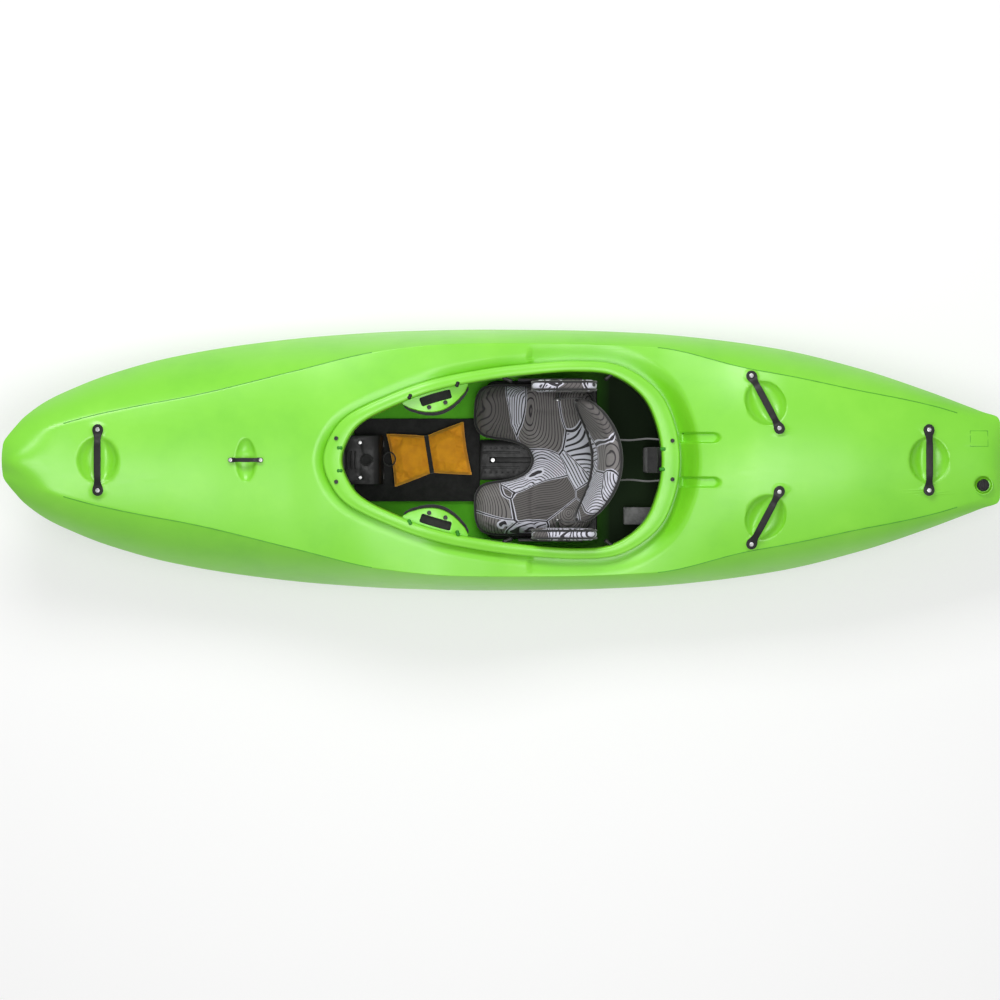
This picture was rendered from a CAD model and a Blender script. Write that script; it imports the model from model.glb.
import math
import bmesh
import bpy
import numpy as np
from mathutils import Matrix, Vector


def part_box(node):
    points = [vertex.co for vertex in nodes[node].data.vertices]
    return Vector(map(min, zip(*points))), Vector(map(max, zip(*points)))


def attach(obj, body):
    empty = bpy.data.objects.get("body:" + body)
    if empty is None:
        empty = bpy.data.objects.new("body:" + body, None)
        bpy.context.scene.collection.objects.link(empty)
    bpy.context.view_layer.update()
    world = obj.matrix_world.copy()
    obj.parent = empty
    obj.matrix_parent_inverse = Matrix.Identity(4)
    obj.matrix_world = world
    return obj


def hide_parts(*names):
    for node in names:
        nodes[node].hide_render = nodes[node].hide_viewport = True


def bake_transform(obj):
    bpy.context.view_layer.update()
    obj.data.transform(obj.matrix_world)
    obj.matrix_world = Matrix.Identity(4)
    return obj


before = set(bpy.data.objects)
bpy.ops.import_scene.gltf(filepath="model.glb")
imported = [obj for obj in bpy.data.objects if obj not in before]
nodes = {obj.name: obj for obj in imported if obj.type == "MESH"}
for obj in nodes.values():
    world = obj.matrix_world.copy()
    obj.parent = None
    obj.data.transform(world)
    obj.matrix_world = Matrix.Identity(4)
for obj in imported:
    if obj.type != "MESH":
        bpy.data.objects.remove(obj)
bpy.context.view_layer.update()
bpy.ops.object.select_all(action="DESELECT")
print("frame loaded")

# camera and studio
camera = {"height": 9.0, "lens": 115.17, "shiftX": -0.0035, "shiftY": -0.04}
bpy.ops.object.camera_add(location=(0, 0, camera["height"]), rotation=(0, 0, 0))
shot = bpy.context.object
shot.data.lens = camera["lens"]
shot.data.sensor_width = 36
shot.data.shift_x = camera["shiftX"]
shot.data.shift_y = camera["shiftY"]
bpy.context.scene.camera = shot

studio = {"world": 0.42, "key": 92, "keySize": 2.2, "keyPlace": (-0.7, 2.7, 3.3), "keyTarget": (0, 0, 0.2),
          "fill": 68, "fillSize": 2.6, "fillPlace": (0.2, -0.5, 4.5), "fillTarget": (0, -0.1, 0.2)}
world = bpy.data.worlds.new("studioWorld")
bpy.context.scene.world = world
world.use_nodes = True
world.node_tree.nodes["Background"].inputs[0].default_value = (1, 1, 1, 1)
bpy.context.scene.view_settings.view_transform = "Standard"


for kind in ("key", "fill"):
    bpy.ops.object.light_add(type="AREA", location=studio[kind + "Place"])
    lamp = bpy.context.object
    lamp.name = kind + "Lamp"
    lamp.data.energy = studio[kind]
    lamp.data.shape = "RECTANGLE"
    lamp.data.size = studio[kind + "Size"]
    lamp.data.size_y = studio[kind + "Size"] * 0.6
    way = Vector(studio[kind + "Target"]) - Vector(studio[kind + "Place"])
    lamp.rotation_euler = way.to_track_quat("-Z", "Y").to_euler()


# materials
def newMaterial(name, color, roughness, metallic=0.0, specular=0.5, coat=0.0, sheen=0.0):
    material = bpy.data.materials.new(name)
    material.use_nodes = True
    shader = material.node_tree.nodes["Principled BSDF"]
    shader.inputs["Base Color"].default_value = (*color, 1)
    shader.inputs["Roughness"].default_value = roughness
    shader.inputs["Metallic"].default_value = metallic
    shader.inputs["Specular IOR Level"].default_value = specular
    shader.inputs["Coat Weight"].default_value = coat
    shader.inputs["Coat Roughness"].default_value = 0.25
    shader.inputs["Sheen Weight"].default_value = sheen
    shader.inputs["Sheen Roughness"].default_value = 0.6
    return material, material.node_tree, shader


def addNode(tree, kind, **inputs):
    node = tree.nodes.new(kind)
    for key, value in inputs.items():
        node.inputs[key.replace("_", " ")].default_value = value
    return node


def objectPoint(tree, scale=(1, 1, 1), turn=(0, 0, 0)):
    place = tree.nodes.new("ShaderNodeTexCoord")
    mapping = tree.nodes.new("ShaderNodeMapping")
    mapping.inputs["Scale"].default_value = scale
    mapping.inputs["Rotation"].default_value = turn
    tree.links.new(place.outputs["Object"], mapping.inputs["Vector"])
    return mapping.outputs["Vector"]


def noiseOf(tree, point, scale, detail=4, roughness=0.55):
    noise = addNode(tree, "ShaderNodeTexNoise", Scale=scale, Detail=detail, Roughness=roughness)
    tree.links.new(point, noise.inputs["Vector"])
    return noise.outputs["Fac"]


def rampOf(tree, value, stops, smooth=True):
    ramp = tree.nodes.new("ShaderNodeValToRGB")
    ramp.color_ramp.interpolation = "EASE" if smooth else "CONSTANT"
    while len(ramp.color_ramp.elements) < len(stops):
        ramp.color_ramp.elements.new(0.5)
    for element, (place, color) in zip(ramp.color_ramp.elements, stops):
        element.position = place
        element.color = (*color, 1)
    tree.links.new(value, ramp.inputs["Fac"])
    return ramp.outputs["Color"]


def tinted(tree, shader, socket, value, stops):
    tree.links.new(rampOf(tree, value, stops), shader.inputs[socket])


def bumpOn(tree, shader, height, strength, distance):
    bump = addNode(tree, "ShaderNodeBump", Strength=strength, Distance=distance)
    tree.links.new(height, bump.inputs["Height"])
    tree.links.new(bump.outputs["Normal"], shader.inputs["Normal"])
    return bump


def grey(level):
    return (level, level, level)


def mathOf(tree, kind, a, b):
    node = tree.nodes.new("ShaderNodeMath")
    node.operation = kind
    for socket, value in zip(node.inputs, (a, b)):
        if isinstance(value, float):
            socket.default_value = value
        else:
            tree.links.new(value, socket)
    return node.outputs["Value"]


def seenRays(tree):
    # 1 where the camera, metal or glass looks straight at the background
    rays = tree.nodes.new("ShaderNodeLightPath")
    seen = rays.outputs["Is Camera Ray"]
    for kind in ("Is Glossy Ray", "Is Transmission Ray"):
        seen = mathOf(tree, "MAXIMUM", seen, rays.outputs[kind])
    return seen


def between(tree, value, low, high, start=0.0, end=1.0):
    span = tree.nodes.new("ShaderNodeMapRange")
    for socket, number in (("From Min", start), ("From Max", end), ("To Min", low), ("To Max", high)):
        span.inputs[socket].default_value = number
    tree.links.new(value, span.inputs["Value"])
    return span.outputs["Result"]


glow = between(world.node_tree, seenRays(world.node_tree), studio["world"], 1.0)
world.node_tree.links.new(glow, world.node_tree.nodes["Background"].inputs[1])


def hullPlastic():
    look = {"base": (0.20, 0.655, 0.022), "light": (0.225, 0.69, 0.030), "deep": (0.178, 0.615, 0.018)}
    material, tree, shader = newMaterial("limePlastic", look["base"], 0.36, specular=0.6, coat=0.12)
    point = objectPoint(tree)
    cloudy = noiseOf(tree, point, 5.0, 5)
    tinted(tree, shader, "Base Color", cloudy, [
        (0.3, look["deep"]), (0.5, look["base"]), (0.72, look["light"])])
    scuffPoint = objectPoint(tree, (3, 60, 20), (0, 0, 0.2))
    scuff = noiseOf(tree, scuffPoint, 4.0, 8, 0.7)
    tinted(tree, shader, "Roughness", scuff, [(0.35, grey(0.3)), (0.6, grey(0.36)), (0.75, grey(0.46))])
    peel = noiseOf(tree, point, 420.0, 3)
    bumpOn(tree, shader, peel, 0.10, 0.0004)
    return material


def blackMoulded(name, level, roughness, grainScale=900.0):
    material, tree, shader = newMaterial(name, grey(level), roughness, specular=0.22)
    point = objectPoint(tree)
    cloud = noiseOf(tree, point, 22.0, 5)
    tinted(tree, shader, "Base Color", cloud, [(0.3, grey(level * 0.75)), (0.7, grey(level * 1.5))])
    wear = noiseOf(tree, point, 60.0, 6, 0.65)
    tinted(tree, shader, "Roughness", wear, [(0.3, grey(roughness - 0.08)), (0.7, grey(roughness + 0.12))])
    bumpOn(tree, shader, noiseOf(tree, point, grainScale, 2), 0.25, 0.0004)
    return material


def closedFoam(name, level):
    material, tree, shader = newMaterial(name, grey(level), 0.85, specular=0.25, sheen=0.15)
    point = objectPoint(tree)
    cells = addNode(tree, "ShaderNodeTexVoronoi", Scale=520.0)
    tree.links.new(point, cells.inputs["Vector"])
    shade = noiseOf(tree, point, 30.0, 6, 0.7)
    tinted(tree, shader, "Base Color", shade, [(0.3, grey(level * 0.7)), (0.7, grey(level * 1.6))])
    bumpOn(tree, shader, cells.outputs["Distance"], 0.5, 0.0008)
    return material


def brushedSteel(name, shade, roughness):
    material, tree, shader = newMaterial(name, grey(shade), roughness, metallic=1.0)
    point = objectPoint(tree, (900, 900, 60))
    streak = noiseOf(tree, point, 1.0, 4)
    tinted(tree, shader, "Roughness", streak, [(0.3, grey(roughness - 0.08)), (0.7, grey(roughness + 0.1))])
    bumpOn(tree, shader, streak, 0.08, 0.0002)
    return material


def wovenCloth(name, color, weaveScale, sheen=0.3, roughness=0.85):
    material, tree, shader = newMaterial(name, color, roughness, specular=0.3, sheen=sheen)
    point = objectPoint(tree)
    parts = []
    for direction in ("X", "Y"):
        wave = addNode(tree, "ShaderNodeTexWave", Scale=weaveScale, Distortion=0.6, Detail=1.0)
        wave.bands_direction = direction
        tree.links.new(point, wave.inputs["Vector"])
        parts.append(wave.outputs["Fac"])
    weave = mathOf(tree, "MULTIPLY", *parts)
    cloud = noiseOf(tree, point, 35.0, 5)
    dark = tuple(c * 0.88 for c in color)
    light = tuple(min(1, c * 1.12) for c in color)
    tinted(tree, shader, "Base Color", cloud, [(0.3, dark), (0.7, light)])
    bumpOn(tree, shader, weave, 0.35, 0.0006)
    return material


def hullInside():
    # darker towards the stern, where the deck shades it
    look = {"base": (0.08, 0.45, 0.012), "deep": (0.075, 0.42, 0.010), "light": (0.12, 0.55, 0.018),
            "dim": 0.03, "dimFrom": (0.14, 0.30)}
    material, tree, shader = newMaterial("insidePlastic", look["base"], 0.6, specular=0.12)
    point = objectPoint(tree)
    cloudy = noiseOf(tree, point, 7.0, 6)
    color = rampOf(tree, cloudy, [(0.3, look["deep"]), (0.7, look["light"])])
    split = tree.nodes.new("ShaderNodeSeparateXYZ")
    tree.links.new(point, split.inputs["Vector"])
    reach = between(tree, split.outputs["X"], 1.0, look["dim"], *look["dimFrom"])
    dim = tree.nodes.new("ShaderNodeVectorMath")
    dim.operation = "SCALE"
    tree.links.new(color, dim.inputs[0])
    tree.links.new(reach, dim.inputs["Scale"])
    tree.links.new(dim.outputs["Vector"], shader.inputs["Base Color"])
    return material


def deepGreen():
    material, tree, shader = newMaterial("deepGreen", (0.025, 0.24, 0.008), 0.42, specular=0.3)
    point = objectPoint(tree)
    cloudy = noiseOf(tree, point, 60.0, 4)
    tinted(tree, shader, "Base Color", cloudy, [(0.3, (0.018, 0.19, 0.006)), (0.7, (0.035, 0.29, 0.012))])
    bumpOn(tree, shader, noiseOf(tree, point, 700.0, 2), 0.2, 0.0003)
    return material


looks = {
    "hull": hullPlastic(),
    "peg": deepGreen(),
    "inside": hullInside(),
    "black": blackMoulded("blackPlastic", 0.009, 0.36),
    "blackSoft": blackMoulded("blackRubber", 0.012, 0.6, 500.0),
    "screw": blackMoulded("blackScrew", 0.02, 0.3),
    "steel": brushedSteel("satinSteel", 0.34, 0.28),
    "rail": brushedSteel("anodisedRail", 0.07, 0.5),
    "foam": closedFoam("blackFoam", 0.016),
    "greyFoam": closedFoam("greyFoam", 0.17),
    "webbing": wovenCloth("blackWebbing", grey(0.014), 330.0),
    "pouch": wovenCloth("orangeCloth", (0.98, 0.38, 0.008), 420.0, 0.12, 0.7),
    "pouchSeam": wovenCloth("orangePiping", (0.98, 0.42, 0.03), 300.0, 0.25, 0.7),
    "cord": wovenCloth("greyCord", grey(0.12), 700.0),
    "blackCord": wovenCloth("blackCord", grey(0.012), 700.0),
}


def paint(obj, material):
    obj.data.materials.clear()
    obj.data.materials.append(material)
    return obj


# helpers for new pieces
def selectOnly(piece):
    bpy.ops.object.select_all(action="DESELECT")
    piece.select_set(True)
    bpy.context.view_layer.objects.active = piece


def linked(name, mesh):
    piece = bpy.data.objects.new(name, mesh)
    bpy.context.scene.collection.objects.link(piece)
    return piece


def meshPiece(name, points, faces, material, body, slot, replaced=(), smooth=35):
    mesh = bpy.data.meshes.new(name)
    mesh.from_pydata([tuple(p) for p in points], [], [tuple(f) for f in faces])
    mesh.update()
    return finishPiece(linked(name, mesh), material, body, slot, replaced, smooth)


def finishPiece(piece, material, body, slot, replaced=(), smooth=35):
    selectOnly(piece)
    bpy.ops.object.transform_apply(location=True, rotation=True, scale=True)
    if smooth:
        bpy.ops.object.shade_smooth_by_angle(angle=math.radians(smooth))
    paint(piece, material)
    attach(piece, body)
    if replaced:
        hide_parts(*replaced)
    piece.select_set(False)
    return piece


def gridFaces(rows, columns, wrapColumns=False, wrapRows=False, flip=False):
    rowIndex = np.arange(rows if wrapRows else rows - 1)
    columnIndex = np.arange(columns if wrapColumns else columns - 1)
    r, c = np.meshgrid(rowIndex, columnIndex, indexing="ij")
    r2, c2 = (r + 1) % rows, (c + 1) % columns
    corners = [r * columns + c, r * columns + c2, r2 * columns + c2, r2 * columns + c]
    quads = np.stack(corners, -1).reshape(-1, 4)
    return quads[:, ::-1] if flip else quads


def gridMesh(name, grid, material, body, slot, replaced=(), smooth=35, flip=False, wrapRows=False,
             wrapColumns=False):
    rows, columns = grid.shape[:2]
    mesh = bpy.data.meshes.new(name)
    quads = gridFaces(rows, columns, wrapColumns, wrapRows, flip)
    mesh.vertices.add(rows * columns)
    mesh.vertices.foreach_set("co", grid.reshape(-1).astype(np.float32))
    mesh.loops.add(len(quads) * 4)
    mesh.loops.foreach_set("vertex_index", quads.reshape(-1).astype(np.int32))
    mesh.polygons.add(len(quads))
    mesh.polygons.foreach_set("loop_start", np.arange(0, len(quads) * 4, 4, dtype=np.int32))
    mesh.update(calc_edges=True)
    mesh.validate()
    return finishPiece(linked(name, mesh), material, body, slot, replaced, smooth)


def outwards(piece):
    form = bmesh.new()
    form.from_mesh(piece.data)
    bmesh.ops.recalc_face_normals(form, faces=form.faces)
    form.to_mesh(piece.data)
    form.free()


def sweptPiece(name, rings, material, body, slot, replaced=(), smooth=35):
    # closed piece through rings of points
    count, sides = rings.shape[:2]
    faces = gridFaces(count, sides, True).tolist()
    faces.append(list(range(sides)))
    faces.append([(count - 1) * sides + i for i in range(sides)])
    piece = meshPiece(name, rings.reshape(-1, 3), faces, material, body, slot, replaced, smooth)
    outwards(piece)
    return piece


# small curves
def arcOf(x, z, reach, start, turn, steps):
    # points of an arc round a centre, from start degrees through turn degrees
    angles = [math.radians(start + turn * step / steps) for step in range(steps + 1)]
    return [(x + reach * math.cos(angle), z + reach * math.sin(angle)) for angle in angles]


def bend(t, start, control, end):
    return (1 - t) ** 2 * start + 2 * t * (1 - t) * control + t ** 2 * end


def blend(pair, share):
    return pair[0] + (pair[1] - pair[0]) * share


shellFinish = (looks["hull"], "hull", "hull_plastic")
liningFinish = (looks["inside"], "hull", "hull_plastic")
blackFinish = (looks["black"], "hull", "black_plastic")
bothSides = ((1, "port"), (-1, "starboard"))


# hull outlines, as shares of length, depth and half beam
hull = {
    "length": 2.7, "beam": 0.72, "depth": 0.418, "wall": 0.005,
    "keel": [
        (0, 0.905), (0.002, 0.86), (0.006, 0.813), (0.02, 0.71), (0.06, 0.51), (0.1, 0.368), (0.16, 0.213),
        (0.24, 0.088), (0.32, 0.019), (0.4, 0), (0.52, 0), (0.6, 0.008), (0.68, 0.045), (0.74, 0.117),
        (0.82, 0.266), (0.9, 0.44), (0.95, 0.555), (0.99, 0.65), (1, 0.69)],
    "deck": [
        (0, 0.945), (0.002, 0.968), (0.006, 0.985), (0.016, 1), (0.03, 0.99), (0.06, 0.937), (0.1, 0.897),
        (0.16, 0.858), (0.22, 0.84), (0.28, 0.846), (0.32, 0.862), (0.36, 0.872), (0.4, 0.857), (0.44, 0.82),
        (0.48, 0.772), (0.52, 0.725), (0.56, 0.69), (0.6, 0.672), (0.64, 0.68), (0.66, 0.705), (0.69, 0.752),
        (0.723, 0.8), (0.756, 0.835), (0.79, 0.846), (0.84, 0.845), (0.9, 0.828), (0.95, 0.805),
        (0.985, 0.792), (0.994, 0.778), (1, 0.75)],
    "halfBeam": [
        (0, 0.07), (0.001, 0.127), (0.006, 0.19), (0.011, 0.24), (0.02, 0.322), (0.04, 0.443), (0.06, 0.525),
        (0.1, 0.651), (0.16, 0.781), (0.24, 0.887), (0.32, 0.952), (0.4, 0.988), (0.48, 1), (0.56, 0.995),
        (0.64, 0.973), (0.7, 0.934), (0.78, 0.848), (0.86, 0.698), (0.93, 0.519), (0.97, 0.402),
        (0.985, 0.358), (0.994, 0.338), (0.998, 0.322), (1, 0.285)],
    "beamHeight": [
        (0, 0.925), (0.003, 0.916), (0.03, 0.79), (0.064, 0.653), (0.127, 0.524), (0.191, 0.464),
        (0.255, 0.42), (0.32, 0.412), (0.5, 0.4), (0.66, 0.433), (0.755, 0.471), (0.82, 0.524),
        (0.883, 0.589), (0.946, 0.658), (1, 0.728)],
    "chine": [
        (0, 0.5), (0.08, 0.58), (0.145, 0.65), (0.215, 0.7), (0.333, 0.787), (0.45, 0.816), (0.568, 0.82),
        (0.685, 0.76), (0.81, 0.69), (0.908, 0.64), (1, 0.6)],
    "chineRise": [
        (0, 0.3), (0.08, 0.16), (0.16, 0.08), (0.3, 0.05), (0.7, 0.05), (0.8, 0.06), (0.9, 0.1), (1, 0.2)],
    "deckEdge": [
        (0, 0.4), (0.061, 0.518), (0.179, 0.58), (0.287, 0.713), (0.373, 0.832), (0.45, 0.875),
        (0.58, 0.885), (0.653, 0.883), (0.755, 0.77), (0.851, 0.742), (0.956, 0.8), (1, 0.8)],
    "deckEdgeHeight": [
        (0, 0.94), (0.01, 0.955), (0.038, 0.95), (0.089, 0.878), (0.159, 0.82), (0.255, 0.794),
        (0.32, 0.794), (0.37, 0.806), (0.426, 0.796), (0.475, 0.75), (0.52, 0.694), (0.564, 0.658),
        (0.62, 0.634), (0.655, 0.639), (0.69, 0.67), (0.723, 0.699), (0.755, 0.742), (0.787, 0.768),
        (0.835, 0.782), (0.914, 0.768), (0.978, 0.756), (1, 0.735)],
    "flatBottom": 1 / 3, "sideFull": 0.72, "shoulderFull": 0.66,
}
cockpit = {
    "length": 0.868, "width": 0.48, "centre": 0.499, "sideFlange": 0.03, "endFlange": 0.05,
    "thickness": 0.014, "neck": 0.009, "neckDepth": 0.07, "innerRound": 0.0085, "outerRound": 0.0062,
    "lowerRound": 0.004, "dome": 0.0030,
    "moatReach": (0.018, 0.044), "moatSink": (0.026, 0.032), "moatStep": 0.528, "stepHalf": 0.003,
    "bank": (0.026, 0.041), "bankOver": 0.013,
    "rimHeight": [
        (0.3, 0.85), (0.315, 0.87), (0.34, 0.892), (0.363, 0.9), (0.416, 0.878), (0.454, 0.828),
        (0.503, 0.763), (0.56, 0.718), (0.62, 0.691), (0.655, 0.692), (0.7, 0.696)],
    "outline": [
        (0.015, 0.2), (0.055, 0.4), (0.19, 0.65), (0.3, 0.79), (0.446, 0.9), (0.57, 0.96), (0.734, 1),
        (0.845, 0.96), (0.94, 0.72), (0.985, 0.38)],
}
dents = {
    "hands": [
        {"share": 0.095, "y": 0.0, "turn": 0, "span": 0.164},
        {"share": 0.9265, "y": 0.0, "turn": 0, "span": 0.164},
        {"share": 0.763, "y": 0.155, "turn": 27, "span": 0.164},
        {"share": 0.763, "y": -0.155, "turn": -27, "span": 0.164}],
    "handSize": (0.054, 0.062, 0.0215), "ridge": 0.011, "ridgeWidth": 0.011,
    "tie": {"share": 0.242, "y": 0.0, "turn": 90, "span": 0.082}, "tieSize": (0.027, 0.059, 0.014),
    "tieHump": (0.004, 0.008, 0.012),
    "grooveShare": 0.7, "grooveSize": (0.049, 0.0145, 0.013), "grooveY": 0.0605,
    "drain": (0.982, -0.068), "drainRadius": 0.023, "drainDepth": 0.009,
    "plate": (0.9775, 0.058, 0.024, 0.021), "plateRise": 0.0014, "plateEdge": 0.002, "boss": (0.018, 0.003),
}


def along(table, share):
    # smooth curve through a table's points that never overshoots
    xs = np.array([row[0] for row in table])
    ys = np.array([row[1] for row in table])
    rise = np.diff(ys) / np.diff(xs)
    slopes = np.zeros(len(xs))
    slopes[0], slopes[-1] = rise[0], rise[-1]
    before, after = rise[:-1], rise[1:]
    same = before * after > 0
    slopes[1:-1][same] = 2 * before[same] * after[same] / (before[same] + after[same])
    s = np.clip(np.asarray(share, float), xs[0], xs[-1])
    i = np.clip(np.searchsorted(xs, s, side="right") - 1, 0, len(xs) - 2)
    width = xs[i + 1] - xs[i]
    t = (s - xs[i]) / width
    t2, t3 = t * t, t * t * t
    return ((2 * t3 - 3 * t2 + 1) * ys[i] + (t3 - 2 * t2 + t) * slopes[i] * width
            + (3 * t2 - 2 * t3) * ys[i + 1] + (t3 - t2) * slopes[i + 1] * width)


def heightOf(rule, x, y):
    return float(rule(np.array([x]), np.array([y]))[0])


def shareAt(x):
    return np.asarray(x) / hull["length"] + 0.5


def placeAt(share):
    return (share - 0.5) * hull["length"]


def beamAt(share):
    return along(hull["halfBeam"], share) * hull["beam"] / 2


def baseDeck(x, y):
    # height of the plain deck over a point in plan
    share = shareAt(x)
    beam = beamAt(share)
    edge = beam * along(hull["deckEdge"], share)
    upper = along(hull["deck"], share) * hull["depth"]
    edgeHeight = np.minimum(along(hull["deckEdgeHeight"], share) * hull["depth"], upper)
    beamHeight = along(hull["beamHeight"], share) * hull["depth"]
    reach = np.abs(y)
    top = edgeHeight + (upper - edgeHeight) * (1 - np.minimum(reach / edge, 1) ** 2)
    k = 2 * hull["shoulderFull"] - 1
    s = np.clip((beam - reach) / (beam - edge), 0, 1)
    t = (-(1 - k) + np.sqrt((1 - k) ** 2 + 4 * k * s)) / (2 * k)
    corner = (beamHeight + edgeHeight) / 2 + k * (edgeHeight - beamHeight) / 2
    return np.where(reach <= edge, top, bend(t, beamHeight, corner, edgeHeight))


def roundedCurve(points, count):
    # closed centripetal curve through points, then evenly spaced along its length
    pts = np.array(points, float)
    n = len(pts)
    fine = []
    for i in range(n):
        p0, p1, p2, p3 = pts[(i - 1) % n], pts[i], pts[(i + 1) % n], pts[(i + 2) % n]
        d0, d1, d2 = (np.linalg.norm(b - a) ** 0.5 for a, b in ((p0, p1), (p1, p2), (p2, p3)))
        t1 = ((p1 - p0) / d0 - (p2 - p0) / (d0 + d1) + (p2 - p1) / d1) * d1
        t2 = ((p2 - p1) / d1 - (p3 - p1) / (d1 + d2) + (p3 - p2) / d2) * d1
        t = np.linspace(0, 1, 60, endpoint=False)[:, None]
        c2 = -3 * p1 + 3 * p2 - 2 * t1 - t2
        c3 = 2 * p1 - 2 * p2 + t1 + t2
        fine.append(p1 + t1 * t + c2 * t ** 2 + c3 * t ** 3)
    fine = np.concatenate(fine)
    return evenly(np.vstack([fine, fine[:1]]), count + 1)[:-1]


def evenly(points, count):
    # points at even steps along a line
    steps = np.linalg.norm(np.diff(points, axis=0), axis=1)
    run = np.concatenate([[0], np.cumsum(steps)])
    spots = np.linspace(0, run[-1], count)
    return np.stack([np.interp(spots, run, points[:, k]) for k in range(points.shape[1])], 1)


def cockpitPoints():
    # outline of the opening, from its front round and back
    front = placeAt(cockpit["centre"]) - cockpit["length"] / 2
    port = [(front + a * cockpit["length"], b * cockpit["width"] / 2) for a, b in cockpit["outline"]]
    starboard = [(x, -y) for x, y in reversed(port)]
    return [(front, 0), *port, (front + cockpit["length"], 0), *starboard]


egg = roundedCurve(cockpitPoints(), 1200)
eggTangent = np.roll(egg, -1, 0) - np.roll(egg, 1, 0)
eggTangent /= np.linalg.norm(eggTangent, axis=1)[:, None]
eggOut = np.stack([-eggTangent[:, 1], eggTangent[:, 0]], 1)


def eggDistance(x, y):
    # distance outside the opening's edge, and the nearest place on it
    spots = np.stack([x.ravel(), y.ravel()], 1)
    nearest = np.zeros(len(spots), int)
    for start in range(0, len(spots), 8000):
        part = spots[start:start + 8000]
        gap = (part[:, None, 0] - egg[None, :, 0]) ** 2 + (part[:, None, 1] - egg[None, :, 1]) ** 2
        nearest[start:start + 8000] = gap.argmin(1)
    away = ((spots - egg[nearest]) * eggOut[nearest]).sum(1)
    side = ((spots - egg[nearest]) * eggTangent[nearest]).sum(1)
    distance = np.sign(away) * np.hypot(away, side)
    return distance.reshape(x.shape), nearest.reshape(x.shape)


def rimHeight(x):
    return along(cockpit["rimHeight"], shareAt(x)) * hull["depth"]


def flangeWidth(index):
    # the flange is wider at the ends of the opening than at its sides
    lean = np.abs(eggOut[index, 0]) ** 2
    return cockpit["sideFlange"] + (cockpit["endFlange"] - cockpit["sideFlange"]) * lean


def smoothStep(a, b, x):
    t = np.clip((x - a) / (b - a), 0, 1)
    return t * t * (3 - 2 * t)


def inDent(x, y, spot, size):
    # place within an oval dent, and its share of the way to the dent's edge
    angle = math.radians(spot["turn"])
    dx, dy = x - placeAt(spot["share"]), y - spot["y"]
    u = dx * math.cos(angle) + dy * math.sin(angle)
    v = -dx * math.sin(angle) + dy * math.cos(angle)
    return u, v, np.sqrt((u / size[0]) ** 2 + (v / size[1]) ** 2)


def deckHeight(x, y):
    # deck with its moat, bowls, grooves, drain pocket and plate
    base = baseDeck(x, y)
    distance, index = eggDistance(x, y)
    near = egg[index, 0]
    step = placeAt(cockpit["moatStep"])
    rear = smoothStep(step - cockpit["stepHalf"], step + cockpit["stepHalf"], near)
    edge = flangeWidth(index) + blend(cockpit["moatReach"], rear)
    floor = rimHeight(near) - blend(cockpit["moatSink"], rear)
    bank = smoothStep(edge - blend(cockpit["bank"], rear), edge + cockpit["bankOver"], distance)
    height = np.where(base > floor, floor + (base - floor) * bank, base)
    for spot in dents["hands"]:
        u, v, r = inDent(x, y, spot, dents["handSize"])
        bowl = dents["handSize"][2] * np.clip(1 - r ** 3.2, 0, 1) ** 0.8
        ridge = dents["ridge"] * np.exp(-(u / dents["ridgeWidth"]) ** 2) * smoothStep(0, 0.25, 1 - r)
        height = height - bowl + ridge
        for end in (-1, 1):
            gap = np.hypot(u, v - end * spot["span"] / 2)
            height = height + dents["boss"][1] * (1 - smoothStep(0.8, 1.15, gap / dents["boss"][0]))
    u, v, r = inDent(x, y, {**dents["tie"], "turn": 0}, dents["tieSize"])
    bowl = dents["tieSize"][2] * np.clip(1 - r ** 3, 0, 1) ** 0.8
    rise, place, wide = dents["tieHump"]
    hump = rise * np.exp(-((v - place) / wide) ** 2) * smoothStep(0, 0.3, 1 - r)
    height = height - bowl + hump
    for side in (-1, 1):
        dx = x - placeAt(dents["grooveShare"])
        dy = y - side * dents["grooveY"]
        half, wide, deep = dents["grooveSize"]
        across = 1 - smoothStep(0.70, 1.10, np.abs(dy) / wide)
        ends = 1 - smoothStep(half - 0.012, half + 0.004, dx + np.maximum(dy ** 2 / wide * 0.9, 0))
        start = smoothStep(-half - 0.014, -half + 0.004, dx)
        height = height - deep * across * ends * start
    gap = np.hypot(x - placeAt(dents["drain"][0]), y - dents["drain"][1])
    height = height - dents["drainDepth"] * (1 - smoothStep(0.86, 1.1, gap / dents["drainRadius"]))
    share, plateY, halfLong, halfWide = dents["plate"]
    soft = dents["plateEdge"]
    inPlate = np.minimum(
        1 - smoothStep(halfLong - soft, halfLong + soft, np.abs(x - placeAt(share))),
        1 - smoothStep(halfWide - soft, halfWide + soft, np.abs(y - plateY)))
    return height + dents["plateRise"] * inPlate


def outlineLoop(sideCount, sternCount, bowCount):
    # plan outline of the widest line: port side, stern, starboard side, bow
    fine = np.linspace(0, 1, 4000)
    ease = (1 - np.cos(fine * math.pi)) / 2
    share = fine * 0.35 + ease * 0.65
    side = evenly(np.stack([placeAt(share), beamAt(share)], 1), sideCount)
    sternY = np.linspace(side[-1, 1], -side[-1, 1], sternCount + 2)[1:-1]
    bowY = np.linspace(-side[0, 1], side[0, 1], bowCount + 2)[1:-1]
    stern = np.stack([np.full(sternCount, side[-1, 0]), sternY], 1)
    bow = np.stack([np.full(bowCount, side[0, 0]), bowY], 1)
    starboard = side[::-1] * np.array([1, -1])
    return side, np.vstack([side, stern, starboard, bow])


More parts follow.
